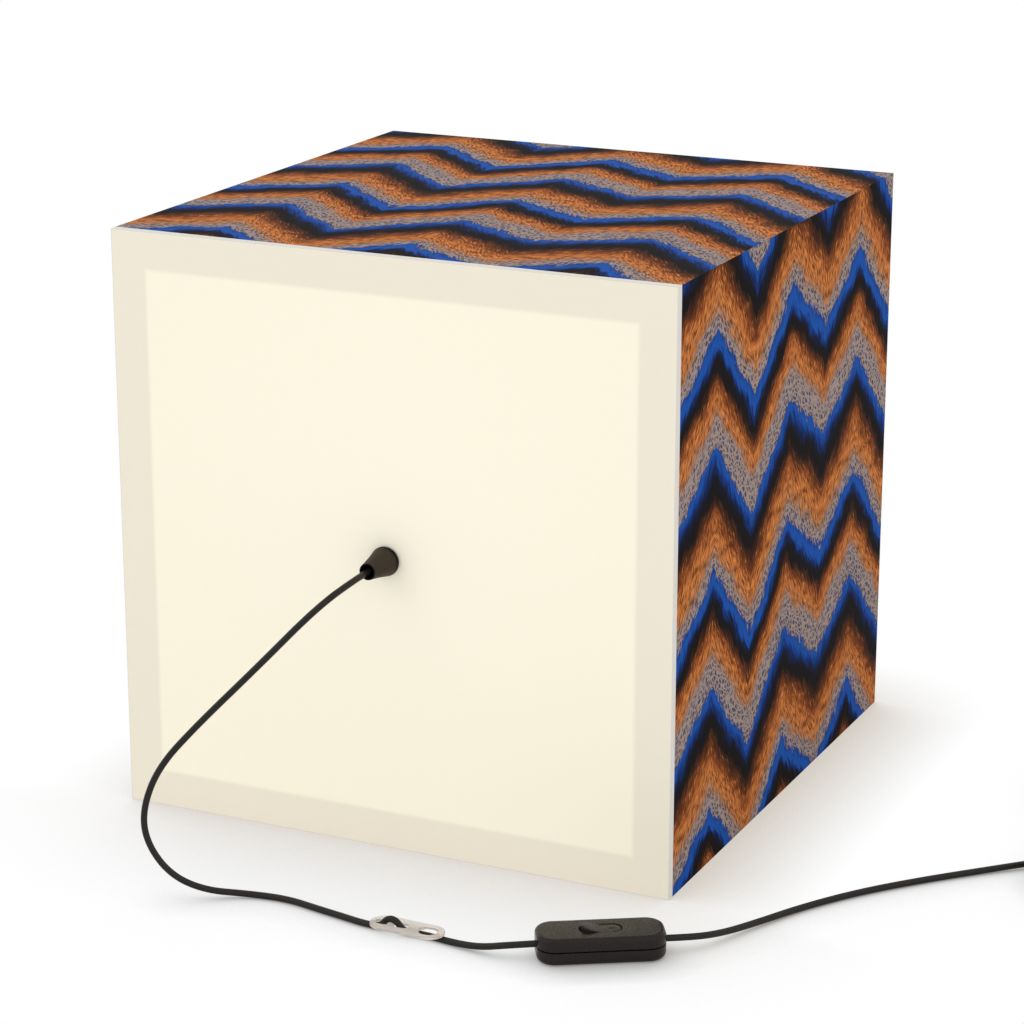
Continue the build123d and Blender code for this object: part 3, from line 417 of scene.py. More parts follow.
@dataclass(frozen=True)
class Print:
    """Feathered zigzag bands, broad and lacy in turn, printed on the outside of a sheet.

    The spans of the broad, slim and lace fields are places across a pair of bands, from 0 to 1.
    """

    face: SheetFace
    sheet: float = 0.003
    band: float = 0.039
    wave: float = 0.065
    swing: float = 1.25
    lift: float = 0.5
    barb_slope: float = 0.55
    drift_scale: float = 70.0
    drift_barbs: float = 0.006
    drift_bands: float = 0.25
    strand_scale: Span = (950.0, 130.0)
    strand_share: float = 0.3
    fur_scale: Span = (1300.0, 330.0)
    fur_low: Span = (0.36, 0.56)
    fur_high: Span = (0.56, 0.72)
    fur_dark: Colour = tint(70, 34, 14)
    fur_light: Colour = tint(228, 150, 78)
    fur_shares: Span = (0.8, 0.75)
    net_scale: Span = (620.0, 480.0)
    thread: Span = (0.05, 0.24)
    lace_ground: Colour = tint(24, 34, 70)
    lace_share: float = 0.8
    broad: tuple[Span, Span] = ((0.1, 0.15), (0.3, 0.4))
    slim: tuple[Span, Span] = ((0.7, 0.74), (0.82, 0.9))
    wide_lace: tuple[Span, Span] = ((0.566, 0.583), (0.69, 0.74))
    slim_lace: tuple[Span, Span] = ((0.056, 0.07), (0.115, 0.16))
    bare: Colour = tint(226, 222, 212)
    show_through: float = 0.22
    ink_ends: Span = (0.6, 0.5)
    roughness: float = 0.7
    fur_gloss: float = 0.1
    shine: float = 0.025

    def material(self) -> bpy.types.Material:
        """Build the material.

        Returns:
            The material.
        """
        paint = Paint(f"print_{self.face.name.lower()}")
        across, up, out, way = self.face.value
        x, y, z = paint.axes()
        centred = [x, y, z - CUBE / 2]
        u, v, depth = centred[across], centred[up], centred[out] * way
        drifting = paint.vector(u * self.drift_scale, v * self.drift_scale, 1.0)
        drift = paint.noise(1.0, detail=2.0, where=drifting) - 0.5
        arm = abs((u / self.wave + 0.5).wrap() - 0.5)
        tall = abs((u / (2 * self.wave) + 0.25).wrap() - 0.5)
        barb = arm * self.wave + v * self.barb_slope + drift * self.drift_barbs

        def feathered(scale: Span, layer: float) -> Signal:
            """Coordinates along and across the barbs, in a layer of their own."""
            return paint.vector(barb * scale[0], v * scale[1], layer)

        strands = paint.noise(1.0, detail=4.0, where=feathered(self.strand_scale, 0.0)) - 0.5
        phase = v / self.band + arm * self.swing + tall * self.lift + drift * self.drift_bands
        pair = ((phase + strands * self.strand_share) / 2).wrap()
        fur = paint.noise(1.0, detail=3.0, where=feathered(self.fur_scale, 4.0))
        threads = 1 - paint.seams(feathered(self.net_scale, 2.0)).rise(*self.thread)
        furry = pair.between(*self.broad).most(pair.between(*self.slim))
        lacy = pair.between(*self.wide_lace).most(pair.between(*self.slim_lace))
        hollow = (1 - fur.rise(*self.fur_low)) * furry * self.fur_shares[0]
        raised = fur.rise(*self.fur_high) * furry * self.fur_shares[1]
        printed = paint.ramp(pair, self._stops())
        printed = paint.mix(hollow, printed, self.fur_dark)
        printed = paint.mix(raised, printed, self.fur_light)
        printed = paint.mix((1 - threads) * lacy * self.lace_share, printed, self.lace_ground)
        back = paint.mix(self.show_through, self.bare, printed)
        outside = depth.rise(*(CUBE / 2 - self.sheet * share for share in self.ink_ends))
        return paint.done(
            Base_Color=paint.mix(outside, back, printed),
            Roughness=self.roughness - self.fur_gloss * fur,
            Specular_IOR_Level=self.shine,
        )

    @staticmethod
    def _stops() -> list[tuple[float, Colour]]:
        """Choose the colours across a pair of bands, each from blue over lace and orange into the dark.

        Returns:
            Places across the pair with their colours.
        """
        blue, deep, navy = tint(24, 78, 160), tint(16, 52, 120), tint(12, 27, 62)
        lace, orange, rust = tint(156, 138, 130), tint(196, 116, 58), tint(146, 76, 34)
        brown, dark = tint(78, 40, 18), tint(16, 12, 14)
        return [
            (0.0, blue), (0.03, blue), (0.058, deep), (0.07, lace), (0.125, lace),
            (0.165, tint(176, 118, 78)), (0.205, orange), (0.245, orange), (0.295, rust), (0.35, brown),
            (0.405, dark), (0.455, dark), (0.485, navy), (0.515, deep), (0.545, blue), (0.558, blue),
            (0.572, deep), (0.583, lace), (0.7, lace), (0.735, tint(172, 114, 76)), (0.77, orange),
            (0.79, orange), (0.83, rust), (0.868, brown), (0.905, dark), (0.945, dark), (0.965, navy),
            (0.985, deep), (1.0, blue),
        ]


@dataclass(frozen=True)
class PanelFace:
    """Cream sheet with painted light: paler where no strip lies behind it, as a painted glow through the
    sheet that is brightest at the middle, and darker over the strips as their painted shadow; with a whiter
    cut edge.
    """

    name: str = "cream_panel"
    glow_window: float = 0.0851
    soft: float = 0.0009
    # Painted shadow of the strips at the border, and painted glow inside them.
    strip_shadow: Colour = tint(237, 230, 212)
    strip_shadow_dark: Colour = tint(228, 220, 200)
    strip_shadow_share: float = 0.15
    middle: Colour = tint(252, 246, 226)
    glow_far: Colour = tint(249, 243, 222)
    middle_reach: float = 0.12
    cut_edge: Colour = tint(216, 212, 205)
    cut_ends: Span = (0.0003, 0.0001)
    cloud: float = 35.0
    grain: float = 1800.0
    depth: float = 0.000008
    roughness: float = 0.42
    spread: float = 0.1
    shine: float = 0.35

    def material(self) -> bpy.types.Material:
        """Build the material.

        Returns:
            The material.
        """
        paint = Paint(self.name)
        x, _, z = paint.axes()
        side, height = abs(x), abs(z - CUBE / 2)
        reach = side.most(height)
        # Painted light: lit through inside the strips and in their painted shadow over them, with a soft edge
        # between.
        glow_window = 1 - reach.rise(self.glow_window - self.soft, self.glow_window + self.soft)
        # Painted glow, brightest at the middle and dimmer further out.
        far = (side * side + height * height) ** 0.5 / self.middle_reach
        middle = paint.mix(far, self.middle, self.glow_far)
        cloud = paint.noise(self.cloud, detail=4.0)
        strip_shadow = paint.mix(cloud * self.strip_shadow_share, self.strip_shadow, self.strip_shadow_dark)
        face = paint.mix(glow_window, strip_shadow, middle)
        edge = reach.rise(*(CUBE / 2 - inset for inset in self.cut_ends))
        grain = paint.noise(self.grain, detail=2.0)
        return paint.done(
            Base_Color=paint.mix(edge, face, self.cut_edge),
            Roughness=self.roughness + self.spread * grain,
            Specular_IOR_Level=self.shine,
            Normal=paint.bump(grain, self.depth),
        )


@dataclass(frozen=True)
class Clear:
    """Frosted clear plastic."""

    name: str
    colour: Colour
    transmission: float
    roughness: float
    spread: float = 0.08
    paler: float = 1.08
    ior: float = 1.46
    cloud: float = 260.0
    grain: float = 2600.0
    depth: float = 0.00001

    def material(self) -> bpy.types.Material:
        """Build the material.

        Returns:
            The material.
        """
        paint = Paint(self.name)
        cloud = paint.noise(self.cloud, detail=3.0)
        grain = paint.noise(self.grain, detail=2.0)
        return paint.done(
            Base_Color=paint.mix(cloud, self.colour, scaled(self.colour, self.paler)),
            Roughness=self.roughness + self.spread * grain,
            Transmission_Weight=self.transmission,
            IOR=self.ior,
            Normal=paint.bump(grain, self.depth),
        )


class Finishes:
    """The lamp's materials, each built once."""

    def __init__(self) -> None:
        """Build every finish."""
        self.panel = PanelFace().material()
        self.strip = Moulding("frame_strip", tint(228, 224, 214), roughness=0.5, tone=0.03).material()
        self.gland = GlandRubber().material()
        self.cord = Moulding("cord_sheath", tint(27, 22, 18), roughness=0.34, tone=0.14, grain=1500.0,
                             depth=0.000004).material()
        self.switch = Moulding("switch_plastic", tint(32, 26, 25), roughness=0.27, tone=0.05, grain=2600.0,
                               depth=0.000004, shine=0.17).material()
        self.plug = Moulding("plug_plastic", tint(42, 41, 40), tone=0.1).material()
        self.tie = Moulding("tie_band", tint(30, 30, 31), roughness=0.7, tone=0.25, grain=3200.0,
                            depth=0.00006).material()
        self.holder = Moulding("holder_plastic", tint(44, 43, 42), roughness=0.5, tone=0.1).material()
        self.ceramic = Moulding("holder_ceramic", tint(222, 216, 205), roughness=0.55, tone=0.05).material()
        self.brown = Moulding("lead_brown", tint(104, 62, 36), roughness=0.4, tone=0.1).material()
        self.blue = Moulding("lead_blue", tint(44, 92, 168), roughness=0.4, tone=0.1).material()
        self.black_glass = Moulding("cap_insulator", tint(26, 26, 28), roughness=0.2, tone=0.1,
                                    shine=0.5).material()
        self.white = Moulding("bulb_housing", tint(236, 235, 231), roughness=0.4, tone=0.03,
                              shine=0.4).material()
        self.phosphor = Moulding("led_phosphor", tint(238, 206, 92), roughness=0.3, tone=0.08,
                                 grain=5000.0).material()
        self.lacquer = Moulding("led_board", tint(232, 233, 230), roughness=0.35, tone=0.03).material()
        self.board = Moulding("circuit_board", tint(36, 104, 62), roughness=0.4, tone=0.15).material()
        self.frosted = Clear("bulb_frosted", tint(245, 243, 236), transmission=0.25, roughness=0.5).material()
        self.clip = Clear("clip_clear", tint(234, 227, 221), transmission=0.66, roughness=0.3).material()
        self.zinc = Metal("zinc_plate", tint(196, 194, 188), roughness=0.36).material()
        self.brass = Metal("brass", tint(214, 176, 106), roughness=0.28).material()
        self.aluminium = Metal("bulb_cap_metal", tint(208, 208, 207), roughness=0.32).material()
        self.nickel = Metal("nickel_plate", tint(214, 211, 204), roughness=0.2).material()


def dress(finish: bpy.types.Material, *nodes: str) -> None:
    """Give solids of the frame a finish.

    Args:
        finish: Material.
        nodes: Solids to dress.
    """
    for node in nodes:
        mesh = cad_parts[node].data
        mesh.materials.clear()
        mesh.materials.append(finish)
        LOG.info("dressed %s", node)


def add_object(name: str, data: bpy.types.ID) -> bpy.types.Object:
    """Put new data in the scene at the origin.

    Args:
        name: Name of the object.
        data: Mesh, curve, camera or light.

    Returns:
        The new object.
    """
    made = bpy.data.objects.new(name, data)
    bpy.context.scene.collection.objects.link(made)
    return made


def shape_object(name: str, shape: bmesh.types.BMesh, finish: bpy.types.Material | None = None,
                 sharp: float = SHARP) -> bpy.types.Object:
    """Turn an edited mesh into an object, smooth apart from its sharp edges.

    Args:
        name: Name of the object.
        shape: Mesh, which is freed.
        finish: Material, if any.
        sharp: Angle in degrees past which an edge stays sharp.

    Returns:
        The new object.
    """
    limit = math.radians(sharp)
    for edge in shape.edges:
        edge.smooth = edge.calc_face_angle(0.0) < limit
    for face in shape.faces:
        face.smooth = True
    mesh = bpy.data.meshes.new(name)
    shape.to_mesh(mesh)
    shape.free()
    if finish:
        mesh.materials.append(finish)
    return add_object(name, mesh)


def settle(piece: bpy.types.Object, body: Body, slot: str, *nodes: str) -> bpy.types.Object:
    """Hang a piece on its body in place of solids.

    Args:
        piece: Finished piece.
        body: Body that carries it.
        slot: Name of a material slot; not used.
        nodes: Solids that it stands for.

    Returns:
        The piece.
    """
    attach(piece, body.value)
    if nodes:
        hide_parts(*nodes)
    LOG.info("built %s on %s", piece.name, body.value)
    return piece


def smooth_copy(node: str, finish: bpy.types.Material, body: Body, slot: str) -> bpy.types.Object:
    """Merged copy of a solid with smooth shading, in place of the solid.

    Args:
        node: Solid of the frame.
        finish: Material.
        body: Body that carries it.
        slot: Name of a material slot, which settle does not use.

    Returns:
        The new piece.
    """
    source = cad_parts[node].data
    shape = bmesh.new()
    points = [shape.verts.new(vertex.co) for vertex in source.vertices]
    for polygon in source.polygons:
        corners = [points[index] for index in polygon.vertices]
        if len(set(corners)) == len(corners):
            shape.faces.new(corners)
    bmesh.ops.remove_doubles(shape, verts=shape.verts, dist=SOLID_MERGE)
    return settle(shape_object(f"{node}_smooth", shape, finish), body, slot, node)


def weld(shape: bmesh.types.BMesh) -> bmesh.types.BMesh:
    """Merge a mesh's doubles and turn its faces outwards.

    Args:
        shape: Mesh to change.

    Returns:
        The same mesh.
    """
    bmesh.ops.remove_doubles(shape, verts=shape.verts, dist=RING_MERGE)
    bmesh.ops.recalc_face_normals(shape, faces=shape.faces)
    return shape


def ring_mesh(rings: Sequence[Sequence[Point]], loop: bool = False) -> bmesh.types.BMesh:
    """Skin rings of equal count with quads.

    Args:
        rings: Points of each ring in order.
        loop: True to join the last ring to the first, False to cap both ends.

    Returns:
        The closed mesh.
    """
    shape = bmesh.new()
    skinned = [*rings, rings[0]] if loop else rings
    rows = [[shape.verts.new(point) for point in ring] for ring in skinned]
    count = len(rows[0])
    for near, far in zip(rows, rows[1:]):
        for index in range(count):
            after = (index + 1) % count
            shape.faces.new((near[index], near[after], far[after], far[index]))
    if not loop:
        shape.faces.new(list(reversed(rows[0])))
        shape.faces.new(rows[-1])
    bmesh.ops.recalc_face_normals(shape, faces=shape.faces)
    return weld(shape) if loop else shape


class Layout(Enum):
    """Ways to repeat a shape."""

    RING = "ring"
    ROW = "row"


@dataclass(frozen=True)
class Repeat:
    """Copies of one shape, set out by Geometry Nodes in a ring about Z or in a row.

    The set is then turned and moved to its place.
    """

    layout: Layout
    count: int
    centre: Point
    turn: Point = (0.0, 0.0, 0.0)
    radius: float = 0.0
    step: Point = (0.0, 0.0, 0.0)

    def _tree(self) -> bpy.types.NodeTree:
        """Build the node tree with named inputs.

        Returns:
            The tree.
        """
        tree = bpy.data.node_groups.new(f"repeat_{self.layout.value}", "GeometryNodeTree")
        sockets = {"Shape": "Object", "Count": "Int", "Radius": "Float", "Step": "Vector", "Centre": "Vector",
                   "Turn": "Vector", "Finish": "Material"}
        for name, kind in sockets.items():
            tree.interface.new_socket(name, in_out="INPUT", socket_type=f"NodeSocket{kind}")
        tree.interface.new_socket("Geometry", in_out="OUTPUT", socket_type="NodeSocketGeometry")
        wiring = Wiring(tree)
        given = wiring.add("NodeGroupInput").outputs
        if self.layout is Layout.RING:
            seats = wiring.add("GeometryNodeMeshCircle", None,
                               {"Vertices": given["Count"], "Radius": given["Radius"]})
            index = Signal(wiring, wiring.add("GeometryNodeInputIndex").outputs[0])
            angle = index / Signal(wiring, given["Count"]) * math.tau
            facing = wiring.add("ShaderNodeCombineXYZ", None, {"Z": angle})
        else:
            seats = wiring.add("GeometryNodeMeshLine", {"mode": "OFFSET"},
                               {"Count": given["Count"], "Offset": given["Step"]})
            facing = wiring.add("ShaderNodeCombineXYZ")
        shape = wiring.add("GeometryNodeObjectInfo", None, {"Object": given["Shape"]})
        rotate = wiring.add("FunctionNodeEulerToRotation", None, {0: facing.outputs[0]})
        copies = wiring.add("GeometryNodeInstanceOnPoints", None, {
            "Points": seats.outputs[0], "Instance": shape.outputs["Geometry"], "Rotation": rotate.outputs[0]})
        turn = wiring.add("FunctionNodeEulerToRotation", None, {0: given["Turn"]})
        moved = wiring.add("GeometryNodeTransform", None, {
            "Geometry": copies.outputs[0], "Translation": given["Centre"], "Rotation": turn.outputs[0]})
        solid = wiring.add("GeometryNodeRealizeInstances", None, {0: moved.outputs[0]})
        painted = wiring.add("GeometryNodeSetMaterial", None,
                             {"Geometry": solid.outputs[0], "Material": given["Finish"]})
        wiring.add("NodeGroupOutput", None, {0: painted.outputs[0]})
        return tree

    def build(self, name: str, shape: bpy.types.Object, finish: bpy.types.Material) -> bpy.types.Object:
        """Set out the copies as one plain mesh.

        Args:
            name: Name of the piece.
            shape: Shape to repeat, which is removed.
            finish: Material.

        Returns:
            The new object.
        """
        tree = self._tree()
        carrier = add_object(f"{name}_carrier", bpy.data.meshes.new(f"{name}_carrier"))
        modifier = carrier.modifiers.new("repeat", "NODES")
        modifier.node_group = tree
        values = {"Shape": shape, "Count": self.count, "Radius": self.radius, "Step": self.step,
                  "Centre": self.centre, "Turn": self.turn, "Finish": finish}
        for socket in tree.interface.items_tree:
            if socket.in_out == "INPUT":
                modifier[socket.identifier] = values[socket.name]
        mesh = plain_mesh(carrier)
        mesh.name = name
        carrier.modifiers.clear()
        for spent in (carrier, shape):
            bpy.data.objects.remove(spent)
        return add_object(name, mesh)


def plain_mesh(made: bpy.types.Object) -> bpy.types.Mesh:
    """Mesh of an object as its modifiers or its curve give it."""
    graph = bpy.context.evaluated_depsgraph_get()
    return bpy.data.meshes.new_from_object(made.evaluated_get(graph), depsgraph=graph)


def boxed_shape(name: str, size: Point, bevel: float) -> bpy.types.Object:
    """Small block with rounded edges about the origin.

    Args:
        name: Name of the object.
        size: Lengths along X, Y and Z.
        bevel: Edge radius.

    Returns:
        The new object.
    """
    shape = bmesh.new()
    bmesh.ops.create_cube(shape, size=1.0, matrix=Matrix.Diagonal((*size, 1.0)))
    bmesh.ops.bevel(shape, geom=shape.edges[:], offset=bevel, segments=2, profile=0.5, affect="EDGES")
    return shape_object(name, shape)


@dataclass
class Shade:
    """Five printed sheets."""

    faces: Sequence[SheetFace] = tuple(SheetFace)

    def build(self) -> None:
        """Print each sheet."""
        for face in self.faces:
            dress(Print(face).material(), f"shade_{face.name.lower()}_sheet")


@dataclass
class BackPanel:
    """Cream panel, its locating strips and the gland in its middle."""

    strips: Sequence[str] = ("top", "bottom", "left", "right")

    def build(self, finishes: Finishes) -> None:
        """Dress the panel, its strips and the gland.

        Args:
            finishes: Materials.
        """
        dress(finishes.panel, "back_panel")
        dress(finishes.strip, *[f"back_frame_{side}" for side in self.strips])
        smooth_copy("cord_gland", finishes.gland, Body.BACK, "gland_rubber")


@dataclass
class Lampholder:
    """Lampholder on the panel's hollow nipple."""

    rib_count: int = 30
    rib_radius: float = 0.0135
    rib_start: float = -0.0645
    rib: Point = (0.0008, 0.0011, 0.02)
    rib_edge: float = 0.0003

    def build(self, finishes: Finishes) -> None:
        """Dress the solids and add the grip ribs.

        Args:
            finishes: Materials.
        """
        dress(finishes.zinc, "hollow_nipple", "panel_washer", "lock_nut")
        dress(finishes.ceramic, "holder_insert")
        dress(finishes.brass, "holder_screw_shell", "holder_centre_contact")
        dress(finishes.brown, "holder_lead_live")
        dress(finishes.blue, "holder_lead_neutral")
        for node in ("holder_cap", "holder_body"):
            smooth_copy(node, finishes.holder, Body.BACK, "holder_plastic")
        rib = boxed_shape("holder_rib", self.rib, self.rib_edge)
        ring = Repeat(Layout.RING, self.rib_count, (0.0, self.rib_start + self.rib[2] / 2, AXIS_Z),
                      (math.radians(90), 0.0, 0.0), self.rib_radius)
        settle(ring.build("holder_grip_ribs", rib, finishes.holder), Body.BACK, "holder_plastic")


@dataclass
class Bulb:
    """Screw-cap bulb on the lamp's axis."""

    cap_start: float = -0.049
    cap_length: float = 0.014
    cap_radius: float = 0.00695
    cap_wall: float = 0.001
    bore_gap: float = 0.0002
    rows: int = 84
    sides: int = 48
    thread_start: float = 0.0012
    thread_pitch: float = 0.00282
    thread_depth: float = 0.0007
    thread_turns: float = 4.2
    thread_fade: float = 0.001
    board_front: float = -0.0054
    chip_count: int = 8
    chip_circle: float = 0.011
    chip: Point = (0.0035, 0.0028, 0.0007)
    chip_edge: float = 0.00015

    def _cap_radius(self, along: float, angle: float) -> float:
        """Radius of the rolled thread at a place on the cap.

        Args:
            along: Distance from the cap's start.
            angle: Angle about the axis.

        Returns:
            The radius.
        """
        start = self.thread_start
        end = start + self.thread_pitch * self.thread_turns
        if not start < along < end:
            return self.cap_radius
        fade = min(1.0, (along - start) / self.thread_fade, (end - along) / self.thread_fade)
        wave = 0.5 - 0.5 * math.cos(math.tau * (along / self.thread_pitch) - angle)
        return self.cap_radius - self.thread_depth * fade * wave

    def _screw_cap(self) -> bmesh.types.BMesh:
        """Shape the cap with its rolled thread and a plain bore.

        Returns:
            The mesh.
        """
        bore_radius = self.cap_radius - self.cap_wall - self.bore_gap
        places = [self.cap_length * row / self.rows for row in range(self.rows + 1)]
        angles = [math.tau * index / self.sides for index in range(self.sides)]
        outside = [[(self._cap_radius(along, angle), along, angle) for angle in angles] for along in places]
        bore = [[(bore_radius, along, angle) for angle in angles] for along in (places[-1], places[0])]
        return ring_mesh([[
            (radius * math.cos(angle), self.cap_start + along, AXIS_Z + radius * math.sin(angle))
            for radius, along, angle in ring] for ring in outside + bore], loop=True)

    def build(self, finishes: Finishes) -> None:
        """Dress the bulb, thread its cap and set out its emitters.

        Args:
            finishes: Materials.
        """
        dress(finishes.brass, "bulb_tip_contact")
        dress(finishes.board, "bulb_driver_board")
        dress(finishes.lacquer, "bulb_led_board")
        smooth_copy("bulb_insulator", finishes.black_glass, Body.BULB, "bulb_insulator")
        smooth_copy("bulb_housing", finishes.white, Body.BULB, "bulb_white")
        smooth_copy("bulb_dome", finishes.frosted, Body.BULB, "bulb_frosted")
        cap = shape_object("bulb_threaded_cap", self._screw_cap(), finishes.aluminium, FINE_SHARP)
        settle(cap, Body.BULB, "bulb_cap_metal", "bulb_screw_cap")
        chip = boxed_shape("emitter", self.chip, self.chip_edge)
        ring = Repeat(Layout.RING, self.chip_count, (0.0, self.board_front + self.chip[2] / 2, AXIS_Z),
                      (math.radians(-90), 0.0, 0.0), self.chip_circle)
        emitters = ring.build("bulb_emitters", chip, finishes.phosphor)
        settle(emitters, Body.BULB, "led_phosphor", "bulb_led_chips")


@dataclass(frozen=True)
class Seat:
    """Flat place on the floor: a point and a turn about Z, in millimetres and degrees."""

    x: float
    y: float
    turn: float

    def matrix(self) -> Matrix:
        """Matrix from the place's own frame, in metres."""
        turned = Matrix.Rotation(math.radians(self.turn), 4, "Z")
        return Matrix.Translation((self.x * MM, self.y * MM, 0.0)) @ turned

    def point(self, x: float, y: float, z: float) -> Point:
        """Point of the place, given and returned in millimetres."""
        moved = self.matrix() @ Vector((x * MM, y * MM, z * MM))
        return tuple(value / MM for value in moved)


CLIP_SEAT = Seat(36.0, -155.4, -1.0)
SWITCH_SEAT = Seat(94.2, -142.7, 31.0)


@dataclass
class Clip:
    """Clear clip with two threading slots and a hook slot, sizes in millimetres.

    Each slot is the place of its middle, its length and its width.
    """

    length: float = 24.8
    width: float = 9.2
    bottom: float = 2.2
    thick: float = 0.8
    edge: float = 0.2
    edge_steps: int = 3
    bar_at: float = 7.1
    slots: Sequence[Point] = ((3.9, 4.8, 3.2), (10.3, 4.8, 3.2), (19.5, 6.0, 5.4))
    steps: int = 20

    def _stadium(self, middle: float, length: float, width: float) -> list[Span]:
        """Outline of a slot along X.

        Args:
            middle: Place of its middle.
            length: Length over its round ends.
            width: Width.

        Returns:
            Points of the outline.
        """
        radius = width / 2
        ends = ((middle + length / 2 - radius, -90.0), (middle - length / 2 + radius, 90.0))
        outline = []
        for centre, first in ends:
            for step in range(self.steps + 1):
                angle = math.radians(first + 180.0 * step / self.steps)
                outline.append((centre + radius * math.cos(angle), radius * math.sin(angle)))
        return outline

    def build(self, finish: bpy.types.Material) -> bpy.types.Object:
        """Cut the plate, round its edges and lay it on the cord.

        Args:
            finish: Material.

        Returns:
            The clip.
        """
        rim = 2 * self.edge
        outlines = [self._stadium(self.length / 2, self.length - rim, self.width - rim)]
        outlines += [self._stadium(middle, long + rim, wide + rim) for middle, long, wide in self.slots]
        curve = bpy.data.curves.new("clip_outline", "CURVE")
        curve.dimensions = "2D"
        curve.fill_mode = "BOTH"
        curve.extrude = (self.thick / 2 - self.edge) * MM
        curve.bevel_depth = self.edge * MM
        curve.bevel_resolution = self.edge_steps
        for outline in outlines:
            spline = curve.splines.new("POLY")
            spline.points.add(len(outline) - 1)
            for point, (x, y) in zip(spline.points, outline):
                point.co = ((x - self.length / 2) * MM, y * MM, 0.0, 1.0)
            spline.use_cyclic_u = True
        flat = add_object("clip_outline", curve)
        mesh = plain_mesh(flat)
        bpy.data.objects.remove(flat)
        raised = Matrix.Translation((0.0, 0.0, (self.bottom + self.thick / 2) * MM))
        mesh.transform(CLIP_SEAT.matrix() @ raised)
        shape = bmesh.new()
        shape.from_mesh(mesh)
        plate = shape_object("cord_clip_plate", weld(shape), finish, FINE_SHARP)
        plate.visible_shadow = False  # the renderer's shadow of clear plastic is too dark
        return settle(plate, Body.BACK, "clear_clip", "cord_clip")


@dataclass
class Coil:
    """Spare cord wound in and out in layers, sizes in millimetres.

    Between two layers the line climbs over the length of cross, in turns.
    """

    x: float = 216.5
    y: float = -28.0
    middle: float = 15.0
    pitch: float = 2.65
    layers: int = 4
    start: float = 134.6
    turns: float = 13.874
    cross: float = 0.5
    first_z: float = 1.65
    points_per_turn: int = 16
    nudge: float = 0.001
    samples: int = 400

    def _shape(self, turns: float) -> Span:
        """Follow the line to a place.

        Args:
            turns: Turns from its start.

        Returns:
            Radius and height of the line there.
        """
        layer_turns = (self.turns - (self.layers - 1) * self.cross) / self.layers
        spread = layer_turns * self.pitch
        layer, inward, left = 0, True, turns
        while layer < self.layers - 1 and left > layer_turns + self.cross:
            left -= layer_turns + self.cross
            layer, inward = layer + 1, not inward
        run = min(left, layer_turns) * self.pitch
        radius = self.middle - spread / 2 + (spread - run if inward else run)
        height = layer * self.pitch
        if left > layer_turns:
            share = (left - layer_turns) / self.cross
            radius += (1 if inward else -1) * self.pitch / 2 * (share ** 2 - share)
            height += self.pitch * share ** 2 * (3 - 2 * share)
        return radius, self.first_z + height

    def point(self, turns: float) -> Point:
        """Find a point of the line.

        Args:
            turns: Turns from its start.

        Returns:
            The point.
        """
        radius, height = self._shape(turns)
        angle = math.radians(self.start) - math.tau * turns
        return (self.x + radius * math.cos(angle), self.y + radius * math.sin(angle), height)

    def heading(self, turns: float) -> Vector:
        """Direction of the line after a number of turns."""
        ahead = Vector(self.point(min(turns + self.nudge, self.turns)))
        return (ahead - Vector(self.point(max(turns - self.nudge, 0.0)))).normalized()

    def points(self) -> list[Point]:
        """Control points from the first turn to the last."""
        count = round(self.turns * self.points_per_turn)
        return [self.point(self.turns * index / count) for index in range(count + 1)]

    def section(self) -> Point:
        """Measure the room that the turns take.

        Returns:
            Smallest and largest radius of the line, and its highest place.
        """
        places = [self._shape(self.turns * index / self.samples) for index in range(self.samples + 1)]
        radii = [radius for radius, _ in places]
        return min(radii), max(radii), max(height for _, height in places)


